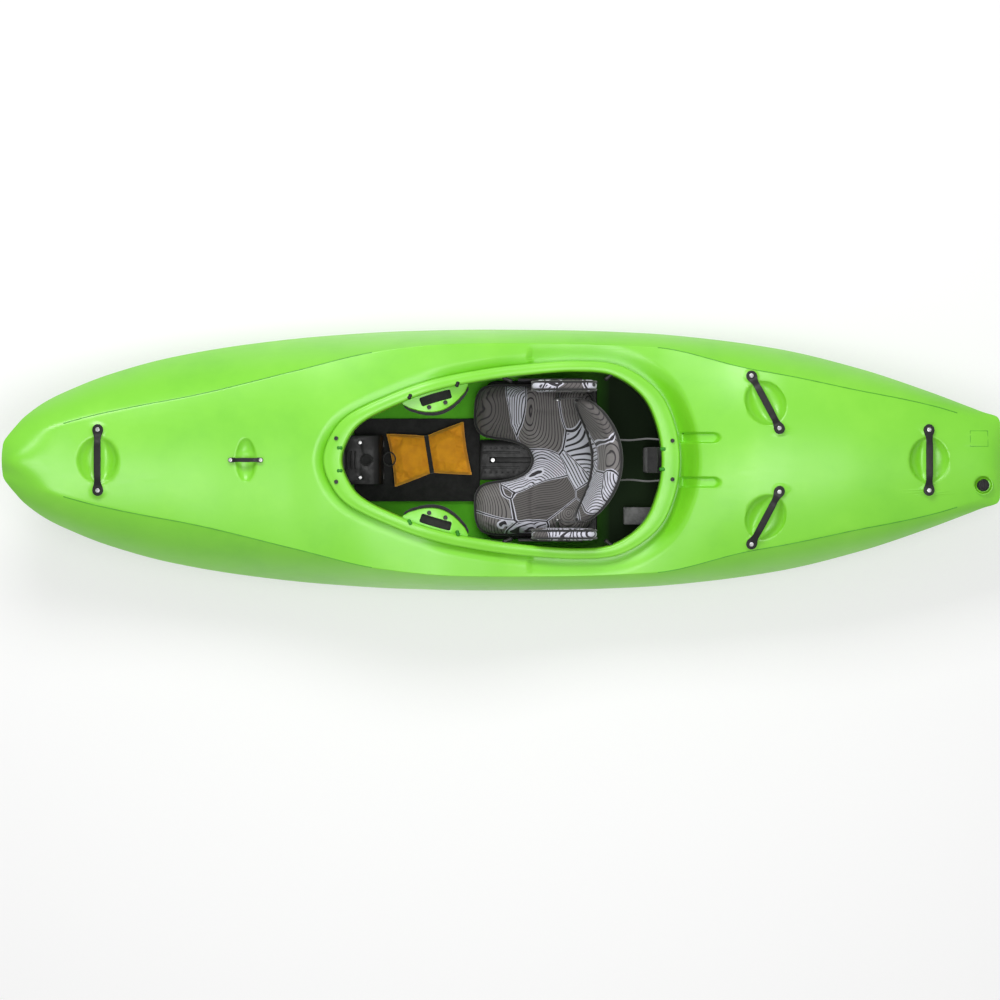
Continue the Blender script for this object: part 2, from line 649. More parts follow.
def spacedRows(start, direction, near, length, count):
    # rows along each ray, closer together where the deck has a dent
    spots = [(placeAt(hand["share"]), hand["y"], 0.075) for hand in dents["hands"]]
    spots.append((placeAt(dents["tie"]["share"]), 0, 0.06))
    spots.append((placeAt(dents["drain"][0]), dents["drain"][1], 0.04))
    spots += [(placeAt(dents["grooveShare"]) + shift, side * dents["grooveY"], 0.035)
              for side in (-1, 1) for shift in (-0.04, 0, 0.04)]
    fine = near[:, None] + (length - near)[:, None] * np.linspace(0, 1, 500)
    place = start[:, None, :] + direction[:, None, :] * fine[:, :, None]
    weight = np.ones(fine.shape)
    for x, y, radius in spots:
        gap = np.hypot(place[:, :, 0] - x, place[:, :, 1] - y)
        weight += 4.2 * np.exp(-(gap / radius) ** 4)
    total = np.cumsum((weight[:, 1:] + weight[:, :-1]) / 2, 1)
    total = np.concatenate([np.zeros((len(total), 1)), total], 1)
    rows = [np.interp(np.linspace(0, sums[-1], count), sums, line) for sums, line in zip(total, fine)]
    return np.array(rows)


def deckGrid(loop, nearSteps, farSteps, drop=0.0):
    # rays from the middle of the opening, through its edge, out to the widest line
    spine = np.stack([loop[:, 0] * 0.3, np.zeros(len(loop))], 1)
    way = loop - spine
    cross = way[:, None, 0] * (egg[None, :, 1] - spine[:, None, 1]) - way[:, None, 1] * (
        egg[None, :, 0] - spine[:, None, 0])
    ahead = ((egg[None, :, :] - spine[:, None, :]) * way[:, None, :]).sum(2) > 0
    nextCross = np.roll(cross, -1, 1)
    hit = (np.sign(cross) != np.sign(nextCross)) & ahead
    first = hit.argmax(1)
    rows = np.arange(len(loop))
    share = cross[rows, first] / (cross[rows, first] - nextCross[rows, first])
    start = egg[first] + (egg[(first + 1) % len(egg)] - egg[first]) * share[:, None]
    length = np.linalg.norm(loop - start, axis=1)
    near = np.minimum(0.125, length * 0.55)
    nearT = np.linspace(0, 1, nearSteps, endpoint=False)
    direction = (loop - start) / length[:, None]
    far = spacedRows(start, direction, near, length, farSteps)
    run = np.concatenate([near[:, None] * nearT, far], 1)
    plan = start[:, None, :] + direction[:, None, :] * run[:, :, None]
    height = deckHeight(plan[:, :, 0], plan[:, :, 1]) - drop
    return np.concatenate([plan, height[:, :, None]], 2)


def lowerGrid(side, sideSteps, bottomSteps, inset=0.0):
    # sections from the widest line down to the keel, along one side
    share = shareAt(side[:, 0])
    lower = along(hull["keel"], share) * hull["depth"] + inset
    beam = beamAt(share)
    beamHeight = along(hull["beamHeight"], share) * hull["depth"]
    rise = along(hull["chineRise"], share) * (beamHeight - lower + inset)
    chine = beam * along(hull["chine"], share) * (1 - inset / beam)
    widest = beam - inset
    k = 2 * hull["sideFull"] - 1
    t = np.linspace(1, 0, sideSteps)[None, :]
    controlY = (chine + widest) / 2 + k * (widest - (chine + widest) / 2)
    chineHeight = lower + rise
    controlZ = (chineHeight + beamHeight) / 2 + k * (chineHeight - (chineHeight + beamHeight) / 2)
    y = bend(t, chine[:, None], controlY[:, None], widest[:, None])
    z = bend(t, chineHeight[:, None], controlZ[:, None], beamHeight[:, None])
    b = np.linspace(1, 0, bottomSteps + 1)[1:][None, :]
    climb = np.maximum(0, (b - hull["flatBottom"]) / (1 - hull["flatBottom"]))
    y = np.concatenate([y, chine[:, None] * b], 1)
    z = np.concatenate([z, lower[:, None] + rise[:, None] * climb ** 2], 1)
    x = np.repeat(side[:, :1], y.shape[1], 1)
    return np.stack([x, y, z], 2)


# points along the sides, the stern and the bow, then rows of the deck near and far, side and bottom rows
counts = {"outline": (338, 64, 6), "deck": (38, 92), "lower": (22, 14),
          "innerOutline": (130, 8, 2), "innerDeck": (14, 30), "innerLower": (12, 8)}


def mirrored(port):
    # port half and its mirror image, joined at the keel
    return np.concatenate([port, (port * np.array([1, -1, 1]))[:, ::-1][:, 1:]], 1)


def buildHull():
    side, loop = outlineLoop(*counts["outline"])
    grid = deckGrid(loop, *counts["deck"])
    gridMesh("hull_deck", grid, *shellFinish, ["hull_shell"], 50, wrapRows=True)
    both = mirrored(lowerGrid(side, *counts["lower"]))
    bottom = gridMesh("hull_bottom", both, *shellFinish, (), 24, flip=True)
    closeEnds(bottom, both, loop, len(side))
    innerSide, innerLoop = outlineLoop(*counts["innerOutline"])
    lining = mirrored(lowerGrid(innerSide, *counts["innerLower"], hull["wall"]))
    gridMesh("hull_lining", lining, *liningFinish, (), 40)
    ceiling = deckGrid(innerLoop * np.array([1, 0.985]), *counts["innerDeck"], hull["wall"])
    gridMesh("deck_lining", ceiling, *liningFinish, (), 50, wrapRows=True, flip=True)


def closeEnds(bottom, sections, loop, sideCount):
    # flat faces that close the tips between the deck and the lower shell
    form = bmesh.new()
    form.from_mesh(bottom.data)
    bowCount = counts["outline"][2]
    sternLoop = loop[sideCount:len(loop) - sideCount - bowCount]
    bowLoop = loop[-bowCount:]
    for row, tips, reverse in ((len(sections) - 1, sternLoop, True), (0, bowLoop, False)):
        ring = [tuple(p) for p in sections[row]]
        top = [(x, y, heightOf(deckHeight, x, y)) for x, y in tips]
        ordered = ring + (top[::-1] if reverse else top)
        corners = [form.verts.new(p) for p in ordered]
        face = form.faces.new(corners)
        if (face.normal.x < 0) == reverse:
            face.normal_flip()
    bmesh.ops.recalc_face_normals(form, faces=[f for f in form.faces if len(f.verts) > 4])
    form.to_mesh(bottom.data)
    form.free()


buildHull()
print("hull")


def rimProfile(width):
    # closed profile of the neck and the domed flange: outward distance and height under the rim's top
    t, dome = cockpit["thickness"], cockpit["dome"]
    inner, outer, lower = cockpit["innerRound"], cockpit["outerRound"], cockpit["lowerRound"]
    points = [(0, -cockpit["neckDepth"]), (0, -inner - 0.001)]
    points += arcOf(inner, -inner - 0.0004, inner, 180, -90, 7)
    for step in range(1, 9):
        share = step / 9
        points.append((inner + (width - inner - outer) * share, -0.0004 + 0.0004 * math.sin(math.pi * share)
                       - dome * share ** 2))
    points += arcOf(width - outer, -dome - outer, outer, 90, -90, 6)
    points += arcOf(width - lower, -t + lower, lower, 0, -90, 5)[1:]
    under = [(0.012, 0), (0.005, 0.0015), (0.001, 0.006), (0, 0.012)]
    points += [(cockpit["neck"] + out, -t - down) for out, down in under]
    return points + [(cockpit["neck"], -cockpit["neckDepth"])]


def buildRim():
    count = 900
    index = (np.arange(count) * len(egg) / count).astype(int)
    curve, outs, widths = egg[index], eggOut[index], flangeWidth(index)
    tops = rimHeight(curve[:, 0])
    rows = []
    for i in range(count):
        profile = np.array(rimProfile(widths[i]))
        plan = curve[i] + outs[i] * profile[:, :1]
        rows.append(np.concatenate([plan, (tops[i] + profile[:, 1])[:, None]], 1))
    gridMesh("cockpit_rim", np.array(rows), *shellFinish, (), 60, wrapRows=True, wrapColumns=True, flip=True)


buildRim()
print("rim done")


# fine lines in the deck
lines = {"width": 0.0011, "front": (0.061, 0.368), "rear": (0.656, 0.956), "flat": 0.45,
         "plateWidth": 0.0006}


def darkLine():
    material, tree, shader = newMaterial("creaseGreen", (0.045, 0.30, 0.004), 0.5)
    shade = noiseOf(tree, objectPoint(tree), 40.0, 4)
    tinted(tree, shader, "Base Color", shade, [(0.3, (0.035, 0.25, 0.003)), (0.7, (0.06, 0.36, 0.006))])
    return material


looks["line"] = darkLine()


def deckLine(name, plan, radius):
    spots = np.array(plan, float)
    heights = deckHeight(spots[:, 0], spots[:, 1])
    path = np.column_stack([spots, heights + radius * 0.1])
    ahead = np.gradient(path, axis=0)
    ahead /= np.linalg.norm(ahead, axis=1)[:, None]
    across = np.cross(ahead, (0.0, 0.0, 1.0))
    across /= np.linalg.norm(across, axis=1)[:, None]
    up = np.cross(across, ahead)
    angle = np.arange(8) / 8 * 2 * math.pi
    rings = (path[:, None, :] + across[:, None, :] * (np.cos(angle) * radius)[None, :, None]
             + up[:, None, :] * (np.sin(angle) * radius * lines["flat"])[None, :, None])
    sweptPiece(name, rings, looks["line"], "hull", "hull_plastic", (), 60)


def buildLines():
    for end in ("front", "rear"):
        share = np.linspace(*lines[end], 220)
        edge = beamAt(share) * along(hull["deckEdge"], share)
        for side, label in bothSides:
            plan = np.column_stack([placeAt(share), side * edge])
            deckLine(f"deck_line_{end}_{label}", plan, lines["width"])
    share, y, halfLong, halfWide = dents["plate"]
    x = placeAt(share)
    corners = [(x + a * halfLong, y + b * halfWide) for a, b in ((-1, -1), (1, -1), (1, 1), (-1, 1))]
    for count in range(4):
        a, b = np.array(corners[count]), np.array(corners[(count + 1) % 4])
        deckLine(f"plate_line_{count + 1}", a + (b - a) * np.linspace(0, 1, 12)[:, None], lines["plateWidth"])


buildLines()
print("deck lines")


# helpers for pieces shaped from a primitive
def added(operator, **settings):
    bpy.ops.object.select_all(action="DESELECT")
    operator(**settings)
    return bpy.context.object


def pickFaces(piece, test):
    # edit mode with only the faces that pass the test selected
    bpy.ops.object.mode_set(mode="OBJECT")
    mesh = piece.data
    mesh.vertices.foreach_set("select", np.zeros(len(mesh.vertices), bool))
    mesh.edges.foreach_set("select", np.zeros(len(mesh.edges), bool))
    mesh.polygons.foreach_set("select", np.array([bool(test(face)) for face in mesh.polygons]))
    bpy.ops.object.mode_set(mode="EDIT")
    bpy.ops.mesh.select_mode(type="FACE")


def leaveEdit():
    bpy.ops.object.mode_set(mode="OBJECT")


def applied(piece, kind, **settings):
    selectOnly(piece)
    modifier = piece.modifiers.new(kind.lower(), kind)
    for key, value in settings.items():
        setattr(modifier, key, value)
    bpy.ops.object.modifier_apply(modifier=modifier.name)
    return piece


def reshaped(piece, change):
    # moves every vertex by a rule on arrays of places
    mesh = piece.data
    spots = np.zeros(len(mesh.vertices) * 3, np.float32)
    mesh.vertices.foreach_get("co", spots)
    moved = change(spots.reshape(-1, 3).astype(float))
    mesh.vertices.foreach_set("co", np.asarray(moved, np.float32).reshape(-1))
    mesh.update()
    return piece


def copied(piece, name, matrix):
    twin = linked(name, piece.data.copy())
    twin.data.transform(matrix)
    return twin


def block(size, place, width, segments):
    piece = added(bpy.ops.mesh.primitive_cube_add, size=1, location=place)
    bpy.ops.transform.resize(value=size)
    bpy.ops.object.transform_apply(location=True, scale=True)
    return applied(piece, "BEVEL", width=width, segments=segments)


def removed(piece):
    bpy.data.objects.remove(piece, do_unlink=True)


def bevelledCopy(node, name, material, body, slot, width):
    # the part's own solid with its edges rounded
    twin = nodes[node].copy()
    twin.data = nodes[node].data.copy()
    twin.name = name
    twin.parent = None
    for key in [key for key in twin.keys() if key.startswith("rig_")]:
        del twin[key]
    bpy.context.scene.collection.objects.link(twin)
    twin.hide_render = False
    twin.hide_viewport = False
    selectOnly(twin)
    bpy.ops.object.mode_set(mode="EDIT")
    bpy.ops.mesh.select_all(action="SELECT")
    bpy.ops.mesh.remove_doubles(threshold=0.00002)
    bpy.ops.mesh.dissolve_limited(angle_limit=math.radians(1))
    leaveEdit()
    applied(twin, "BEVEL", width=width, segments=3, limit_method="ANGLE", angle_limit=math.radians(32))
    return finishPiece(twin, material, body, slot, [node], 40)


# screws: one head modelled for each kind, then copied to every place
screws = {"segments": 32, "edge": 0.32, "socket": 0.42, "socketDepth": 0.55, "grab": (0.0062, 0.004),
          "small": (0.0056, 0.0035), "track": (0.0065, 0.004), "braceSink": 0.0037, "braceScale": 1.06}


def screwHead(radius, height):
    piece = added(bpy.ops.mesh.primitive_cylinder_add, vertices=screws["segments"], radius=radius,
                  depth=height, location=(0, 0, height / 2))
    bpy.ops.object.transform_apply(location=True)
    pickFaces(piece, lambda face: face.normal.z > 0.9)
    bpy.ops.mesh.bevel(offset=height * screws["edge"], segments=4, affect="EDGES")
    pickFaces(piece, lambda face: face.normal.z > 0.999 and len(face.vertices) > 8)
    bpy.ops.mesh.inset(thickness=radius - height * screws["edge"] - radius * screws["socket"])
    bpy.ops.mesh.extrude_region_move(
        TRANSFORM_OT_translate={"value": (0, 0, -height * screws["socketDepth"])})
    bpy.ops.mesh.inset(thickness=radius * 0.06)
    leaveEdit()
    return piece


grabHead, smallHead, trackHead = (screwHead(*screws[kind]) for kind in ("grab", "small", "track"))


def placedScrew(head, name, node, matrix, material, body, slot):
    finishPiece(copied(head, name, matrix), material, body, slot, [node], 40)


# grab handles and the tie bar
handle = {
    "half": [(0, 0.0094), (0.4, 0.0094), (0.66, 0.0086), (0.8, 0.0098), (0.9, 0.0138), (1, 0.0150)],
    "rise": [(0, 0.012), (0.45, 0.012), (0.62, 0.0096), (0.78, 0.003), (0.88, 0.0), (1, 0.0)],
    "thick": 0.008, "pad": 0.015, "edge": 0.0024,
    "tieHalf": [(0, 0.0058), (0.6, 0.0054), (0.85, 0.0062), (1, 0.0065)],
    "tieRise": [(0, 0.003), (0.45, 0.003), (0.7, 0.0016), (0.85, 0), (1, 0)],
    "tieThick": 0.006, "tiePad": 0.0065, "tieEdge": 0.0018, "sink": 0.0002, "tieScrew": 0.98,
    "stops": [0.18, 0.36, 0.5, 0.6, 0.68, 0.76, 0.84, 0.92, 1], "padStops": [0.42, 0.72, 0.92],
}


def handleFrame(spot):
    # frame in the middle of a handle: across, along the bar, and out of the deck
    turn = math.radians(spot["turn"])
    way = Vector((-math.sin(turn), math.cos(turn), 0))
    ends = []
    for sign in (-1, 1):
        place = Vector((placeAt(spot["share"]), spot["y"], 0)) + way * (sign * spot["span"] / 2)
        place.z = heightOf(baseDeck, place.x, place.y)
        ends.append(place)
    bar = (ends[1] - ends[0]).normalized()
    across = Vector((way.y, -way.x, 0))
    out = across.cross(bar)
    middle = (ends[0] + ends[1]) / 2 + out * dents["boss"][1]
    turned = Matrix((across, bar, out)).transposed().to_4x4()
    return Matrix.Translation(middle) @ turned


def barPiece(name, node, spot, halves, rises, thick, pad, edge):
    half = spot["span"] / 2
    piece = added(bpy.ops.mesh.primitive_cube_add, size=1, location=(0, 0, thick / 2))
    bpy.ops.transform.resize(value=(2, 2 * (half + pad), thick))
    bpy.ops.object.transform_apply(location=True, scale=True)
    stops = [share * half for share in handle["stops"]] + [half + pad * share for share in handle["padStops"]]
    for place in [-stop for stop in reversed(stops)] + [0] + stops:
        pickFaces(piece, lambda face: True)
        bpy.ops.mesh.bisect(plane_co=(0, place, 0), plane_no=(0, 1, 0))
    leaveEdit()

    def shape(spots):
        reach = np.abs(spots[:, 1])
        wide = along(halves, np.minimum(reach / half, 1))
        tip = np.clip((reach - half) / pad, 0, 1)
        wide = np.where(reach > half, pad * np.sqrt(np.maximum(1 - tip ** 2, 0.05)), wide)
        spots[:, 0] = np.sign(spots[:, 0]) * wide
        spots[:, 2] += along(rises, np.minimum(reach / half, 1))
        return spots

    reshaped(piece, shape)
    applied(piece, "BEVEL", width=edge, segments=2, limit_method="ANGLE", angle_limit=math.radians(50))
    applied(piece, "SUBSURF", levels=2, render_levels=2)
    piece.name = name
    piece.data.transform(handleFrame(spot))
    return finishPiece(piece, looks["black"], "hull", "black_plastic", [node], 50)


def screwOnBar(head, name, node, spot, end, thick, scale):
    lift = Matrix.Translation((0, end * spot["span"] / 2, thick - handle["sink"]))
    place = handleFrame(spot) @ lift @ Matrix.Scale(scale, 4)
    placedScrew(head, name, node, place, looks["steel"], "hull", "steel")


def buildHandles():
    for label, spot in zip(["bow", "stern", "rear_port", "rear_starboard"], dents["hands"]):
        barPiece(f"{label}_handle", f"{label}_grab_handle", spot, handle["half"], handle["rise"],
                 handle["thick"], handle["pad"], handle["edge"])
        for end, side in ((-1, "starboard"), (1, "port")):
            screwOnBar(grabHead, f"{label}_screw_{side}", f"{label}_handle_bolt_{side}", spot, end,
                       handle["thick"], 1)
    spot = dents["tie"]
    barPiece("tie_bar", "deck_tie_bar", spot, handle["tieHalf"], handle["tieRise"], handle["tieThick"],
             handle["tiePad"], handle["tieEdge"])
    for end, side in ((-1, "rear"), (1, "front")):
        screwOnBar(smallHead, f"tie_screw_{side}", f"tie_bar_bolt_{side}", spot, end, handle["tieThick"],
                   handle["tieScrew"])


buildHandles()


def screwOnNode(head, name, node, sink, look, body, slot, scale=1.0):
    low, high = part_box(node)
    spot = Matrix.Translation(((low.x + high.x) / 2, (low.y + high.y) / 2, high.z - sink))
    placedScrew(head, name, node, spot @ Matrix.Scale(scale, 4), looks[look], body, slot)


def buildSmallScrews():
    sink = screws["small"][1]
    for count in range(1, 5):
        screwOnNode(smallHead, f"rim_head_{count}", f"rim_screw_{count}", sink, "screw", "hull",
                    "black_screws")
    screwOnNode(trackHead, "track_head", "track_screw", screws["track"][1], "steel", "hull", "steel")
    for side in ("port", "starboard"):
        screwOnNode(smallHead, f"footrest_head_{side}", f"footrest_screw_{side}", sink, "steel", "footrest",
                    "steel")
        for end in ("front", "rear"):
            screwOnNode(smallHead, f"brace_head_{side}_{end}", f"thigh_brace_bolt_{side}_{end}",
                        screws["braceSink"], "screw", f"thigh_brace_{side}", "black_screws",
                        screws["braceScale"])


buildSmallScrews()
print("handles and screws")


# drain: pocket ring, sleeve, gasket and plug
drain = {
    "flange": 0.017, "flangeHeight": 0.003, "bore": 0.0075, "sleeve": 0.011, "sleeveDepth": 0.019,
    "gasket": 0.013, "gasketBore": 0.0079, "knob": 0.0148, "knobHeight": 0.009, "grips": 12, "flute": 0.0014,
    "knobEdge": 0.0018, "dish": 0.0028, "boss": 0.0014, "bossInset": 0.0052, "stem": 0.0066,
    "bar": (0.0042, 0.0215, 0.0038), "barSink": 0.0022,
    "pocket": [
        (0.0165, -0.0086), (0.0195, -0.0086), (0.0212, -0.0078), (0.0222, -0.0060), (0.0229, -0.0008),
        (0.0240, 0.0006), (0.0256, 0.0007), (0.0270, -0.0008), (0.0270, -0.0030), (0.0240, -0.0100),
        (0.0165, -0.0100), (0.0165, -0.0086)],
}


def turnedPiece(name, outline, place, segments=48):
    # ring or dish spun from a line of radius and height pairs, then put in place
    mesh = bpy.data.meshes.new(name)
    mesh.from_pydata([(r, 0, z) for r, z in outline], [(i, i + 1) for i in range(len(outline) - 1)], [])
    piece = linked(name, mesh)
    selectOnly(piece)
    bpy.ops.object.mode_set(mode="EDIT")
    bpy.ops.mesh.select_all(action="SELECT")
    bpy.ops.mesh.spin(steps=segments, angle=2 * math.pi, center=(0, 0, 0), axis=(0, 0, 1))
    bpy.ops.mesh.select_all(action="SELECT")
    bpy.ops.mesh.remove_doubles(threshold=0.00002)
    bpy.ops.mesh.normals_make_consistent(inside=False)
    leaveEdit()
    piece.data.transform(Matrix.Translation(place))
    return piece


def buildDrain():
    low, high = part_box("drain_plug")
    middle = Vector(((low.x + high.x) / 2, (low.y + high.y) / 2, 0))
    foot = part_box("drain_sleeve")[1].z - drain["flangeHeight"]
    r, h, bore, deep = drain["flange"], drain["flangeHeight"], drain["bore"], -drain["sleeveDepth"]
    sleeve = turnedPiece("drain_ring", [
        (bore, deep), (bore, h - 0.0006), (bore + 0.0006, h), (r - 0.001, h), (r, h - 0.001), (r, 0),
        (drain["sleeve"], 0), (drain["sleeve"], deep), (bore, deep)], middle + Vector((0, 0, foot)))
    finishPiece(sleeve, *blackFinish, ["drain_sleeve"], 30)
    deckTop = heightOf(baseDeck, middle.x, middle.y)
    pocket = turnedPiece("drain_pocket", drain["pocket"], Vector((middle.x, middle.y, deckTop)), 64)
    finishPiece(pocket, *shellFinish, (), 40)
    gasketLow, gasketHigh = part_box("drain_gasket")
    g, t = drain["gasket"], gasketHigh.z - gasketLow.z
    b = drain["gasketBore"]
    gasket = turnedPiece("drain_seal", [
        (b, 0.0004), (b + 0.0004, 0), (g - 0.0006, 0), (g, 0.0006), (g, t - 0.0006), (g - 0.0006, t),
        (b + 0.0004, t), (b, t - 0.0004), (b, 0.0004)], middle + Vector((0, 0, gasketLow.z)))
    finishPiece(gasket, looks["blackSoft"], "drain_gasket", "gasket", ["drain_gasket"], 30)
    k, n = drain["knob"], drain["knobHeight"]
    plug = added(bpy.ops.mesh.primitive_cylinder_add, vertices=96, radius=k, depth=n, location=(0, 0, n / 2))
    bpy.ops.object.transform_apply(location=True)
    pickFaces(plug, lambda face: face.normal.z > 0.9)
    bpy.ops.mesh.bevel(offset=drain["knobEdge"], segments=4, affect="EDGES")
    pickFaces(plug, lambda face: face.normal.z > 0.999 and len(face.vertices) > 8)
    bpy.ops.mesh.inset(thickness=drain["knobEdge"])
    bpy.ops.mesh.extrude_region_move(TRANSFORM_OT_translate={"value": (0, 0, -drain["dish"])})
    bpy.ops.mesh.inset(thickness=drain["bossInset"])
    bpy.ops.mesh.extrude_region_move(TRANSFORM_OT_translate={"value": (0, 0, drain["boss"])})
    pickFaces(plug, lambda face: face.normal.z < -0.9)
    bpy.ops.mesh.inset(thickness=k - drain["stem"])
    bpy.ops.mesh.extrude_region_move(TRANSFORM_OT_translate={"value": (0, 0, low.z - (high.z - n) + 0.0002)})
    leaveEdit()

    def fluted(spots):
        angle = np.arctan2(spots[:, 1], spots[:, 0])
        radius = np.hypot(spots[:, 0], spots[:, 1])
        flute = np.clip(np.cos(angle * drain["grips"]), 0, 1) ** 2 * drain["flute"]
        rim = (radius > k * 0.872) & (spots[:, 2] >= 0)
        scale = np.where(rim, (radius - flute) / np.maximum(radius, 1e-6), 1)
        spots[:, 0] *= scale
        spots[:, 1] *= scale
        return spots

    reshaped(plug, fluted)
    block(drain["bar"], (0, 0, n - drain["barSink"]), 0.0009, 3)
    plug.select_set(True)
    bpy.context.view_layer.objects.active = plug
    bpy.ops.object.join()
    plug.name = "drain_knob"
    plug.data.transform(Matrix.Translation(middle + Vector((0, 0, high.z - n))))
    finishPiece(plug, looks["black"], "drain_plug", "black_plastic", ["drain_plug"], 30)


buildDrain()
for spare in (grabHead, smallHead, trackHead):
    removed(spare)
print("drain")


# floor, track, seat shell, footrest and straps
outfit = {
    "holeRadius": 0.0032, "holeOffsets": (-0.034, 0.034), "holeStart": -0.052, "holeStep": 0.016,
    "holeCount": 9, "holeDepth": 0.024, "rib": (0.104, 0.006, 0.0022), "ribPlace": (-0.006, 0.021, 0.0006),
    "footRib": (0.0045, 0.05, 0.004), "footRibs": 4, "footRibStart": 0.018, "footRibStep": 0.011,
    "wheel": 0.016, "wheelThick": 0.008, "wheelPlace": (0.082, 0.0042),
}


def trackHoles():
    low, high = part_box("seat_track")
    xs = [outfit["holeStart"] + count * outfit["holeStep"] for count in range(outfit["holeCount"])]
    cutters = [added(bpy.ops.mesh.primitive_cylinder_add, vertices=20, radius=outfit["holeRadius"],
                     depth=outfit["holeDepth"], location=(x, y, high.z))
               for y in outfit["holeOffsets"] for x in xs]
    for cutter in cutters:
        cutter.select_set(True)
    bpy.context.view_layer.objects.active = cutters[0]
    bpy.ops.object.join()
    cutter = bpy.context.object
    bpy.ops.object.transform_apply(location=True)
    track = bevelledCopy("seat_track", "track_plate", *blackFinish, 0.0016)
    applied(track, "BOOLEAN", operation="DIFFERENCE", object=cutter, solver="EXACT")
    removed(cutter)
    base = block((high.x - low.x - 0.02, 0.03, 0.002), ((low.x + high.x) / 2, 0, low.z + 0.005), 0.0006, 2)
    base.name = "track_base"
    finishPiece(base, *blackFinish)
    x, y, lift = outfit["ribPlace"]
    for side, label in reversed(bothSides):
        rib = block(outfit["rib"], (x, side * y, high.z + lift), 0.0008, 3)
        rib.name = f"track_rib_{label}"
        finishPiece(rib, *blackFinish)


def buildOutfit():
    trackHoles()
    rows = [
        ("floor_panel", "floor_mat", "foam", "hull", "black_foam", 0.0022),
        ("bow_pillar", "bow_foam", "foam", "hull", "black_foam", 0.004),
        ("stern_pillar", "stern_foam", "foam", "hull", "black_foam", 0.004),
        ("foam_block", "side_foam", "greyFoam", "hull", "grey_foam", 0.003),
        ("seat_pan", "seat_shell", "black", "seat", "black_plastic", 0.003),
        ("hip_wall_port", "hip_shell_port", "black", "seat", "black_plastic", 0.0012),
        ("hip_wall_starboard", "hip_shell_starboard", "black", "seat", "black_plastic", 0.0012),
        ("footrest_plate", "footrest_wall", "black", "footrest", "black_plastic", 0.003),
        ("footrest_carriage", "footrest_base", "black", "footrest", "black_plastic", 0.003),
        ("footrest_rail_port", "rail_port", "rail", "hull", "steel", 0.0012),
        ("footrest_rail_starboard", "rail_starboard", "rail", "hull", "steel", 0.0012),
        ("backband_strap_port", "strap_port", "webbing", "backband", "black_foam", 0.0008),
        ("backband_strap_starboard", "strap_starboard", "webbing", "backband", "black_foam", 0.0008),
        ("backband_pivot_port", "pivot_port", "steel", "seat", "steel", 0.0009),
        ("backband_pivot_starboard", "pivot_starboard", "steel", "seat", "steel", 0.0009),
    ]
    for node, name, look, body, slot, width in rows:
        bevelledCopy(node, name, looks[look], body, slot, width)


buildOutfit()


def footrestDetails():
    # ribs on the carriage and an adjusting wheel between its screws
    low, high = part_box("footrest_carriage")
    for count in range(outfit["footRibs"]):
        x = low.x + outfit["footRibStart"] + count * outfit["footRibStep"]
        rib = block(outfit["footRib"], (x, 0, high.z + 0.0012), 0.0012, 3)
        rib.name = f"footrest_rib_{count + 1}"
        finishPiece(rib, looks["black"], "footrest", "black_plastic")
    x, lift = outfit["wheelPlace"]
    wheel = added(bpy.ops.mesh.primitive_cylinder_add, vertices=64, radius=outfit["wheel"],
                  depth=outfit["wheelThick"], location=(low.x + x, 0, high.z + lift))
    bpy.ops.object.transform_apply(location=True)
    pickFaces(wheel, lambda face: abs(face.normal.z) < 0.5 and face.index % 4 < 2)
    bpy.ops.mesh.inset(thickness=0.0002, depth=-0.001, use_individual=False)
    leaveEdit()
    pickFaces(wheel, lambda face: face.normal.z > 0.9)
    bpy.ops.mesh.inset(thickness=0.005)
    bpy.ops.mesh.extrude_region_move(TRANSFORM_OT_translate={"value": (0, 0, -0.003)})
    leaveEdit()
    applied(wheel, "BEVEL", width=0.0006, segments=2, limit_method="ANGLE", angle_limit=math.radians(40))
    wheel.name = "footrest_wheel"
    finishPiece(wheel, looks["blackSoft"], "footrest", "black_plastic")


footrestDetails()
print("floor, track and footrest")


# tubes for piping, cords and edging
def tubePoints(path, radius, sides, closed):
    spots = np.array(path, float)
    if closed:
        ahead = np.roll(spots, -1, 0) - np.roll(spots, 1, 0)
    else:
        ahead = np.gradient(spots, axis=0)
    ahead /= np.linalg.norm(ahead, axis=1)[:, None]
    normal = np.cross(ahead[0], (0.0, 0.0, 1.0))
    if np.linalg.norm(normal) < 0.1:
        normal = np.cross(ahead[0], (0.0, 1.0, 0.0))
    normal /= np.linalg.norm(normal)
    angle = (np.arange(sides) / sides * 2 * math.pi)[:, None]
    rings = []
    for spot, way in zip(spots, ahead):
        normal = normal - way * (normal @ way)
        normal /= np.linalg.norm(normal)
        rings.append(spot + radius * (np.cos(angle) * normal + np.sin(angle) * np.cross(way, normal)))
    return np.array(rings)


def tube(name, path, radius, material, body, slot, closed=False, sides=10, replaced=()):
    rings = tubePoints(path, radius, sides, closed)
    faces = gridFaces(len(rings), sides, True, closed, True).tolist()
    if not closed:
        faces.append(list(range(sides)))
        faces.append([(len(rings) - 1) * sides + i for i in reversed(range(sides))])
    piece = meshPiece(name, rings.reshape(-1, 3), faces, material, body, slot, replaced, 60)
    outwards(piece)
    return piece


def smoothPath(points, count):
    # open smooth curve through points, evenly spaced
    pts = [2 * np.array(points[0]) - np.array(points[1]), *map(np.array, points),
           2 * np.array(points[-1]) - np.array(points[-2])]
    fine = []
    for i in range(1, len(pts) - 2):
        for t in np.linspace(0, 1, 24, endpoint=False):
            fine.append(0.5 * ((2 * pts[i]) + (pts[i + 1] - pts[i - 1]) * t
                               + (2 * pts[i - 1] - 5 * pts[i] + 4 * pts[i + 1] - pts[i + 2]) * t * t
                               + (3 * pts[i] - pts[i - 1] - 3 * pts[i + 1] + pts[i + 2]) * t ** 3))
    fine.append(pts[-2])
    return evenly(np.array(fine), count)


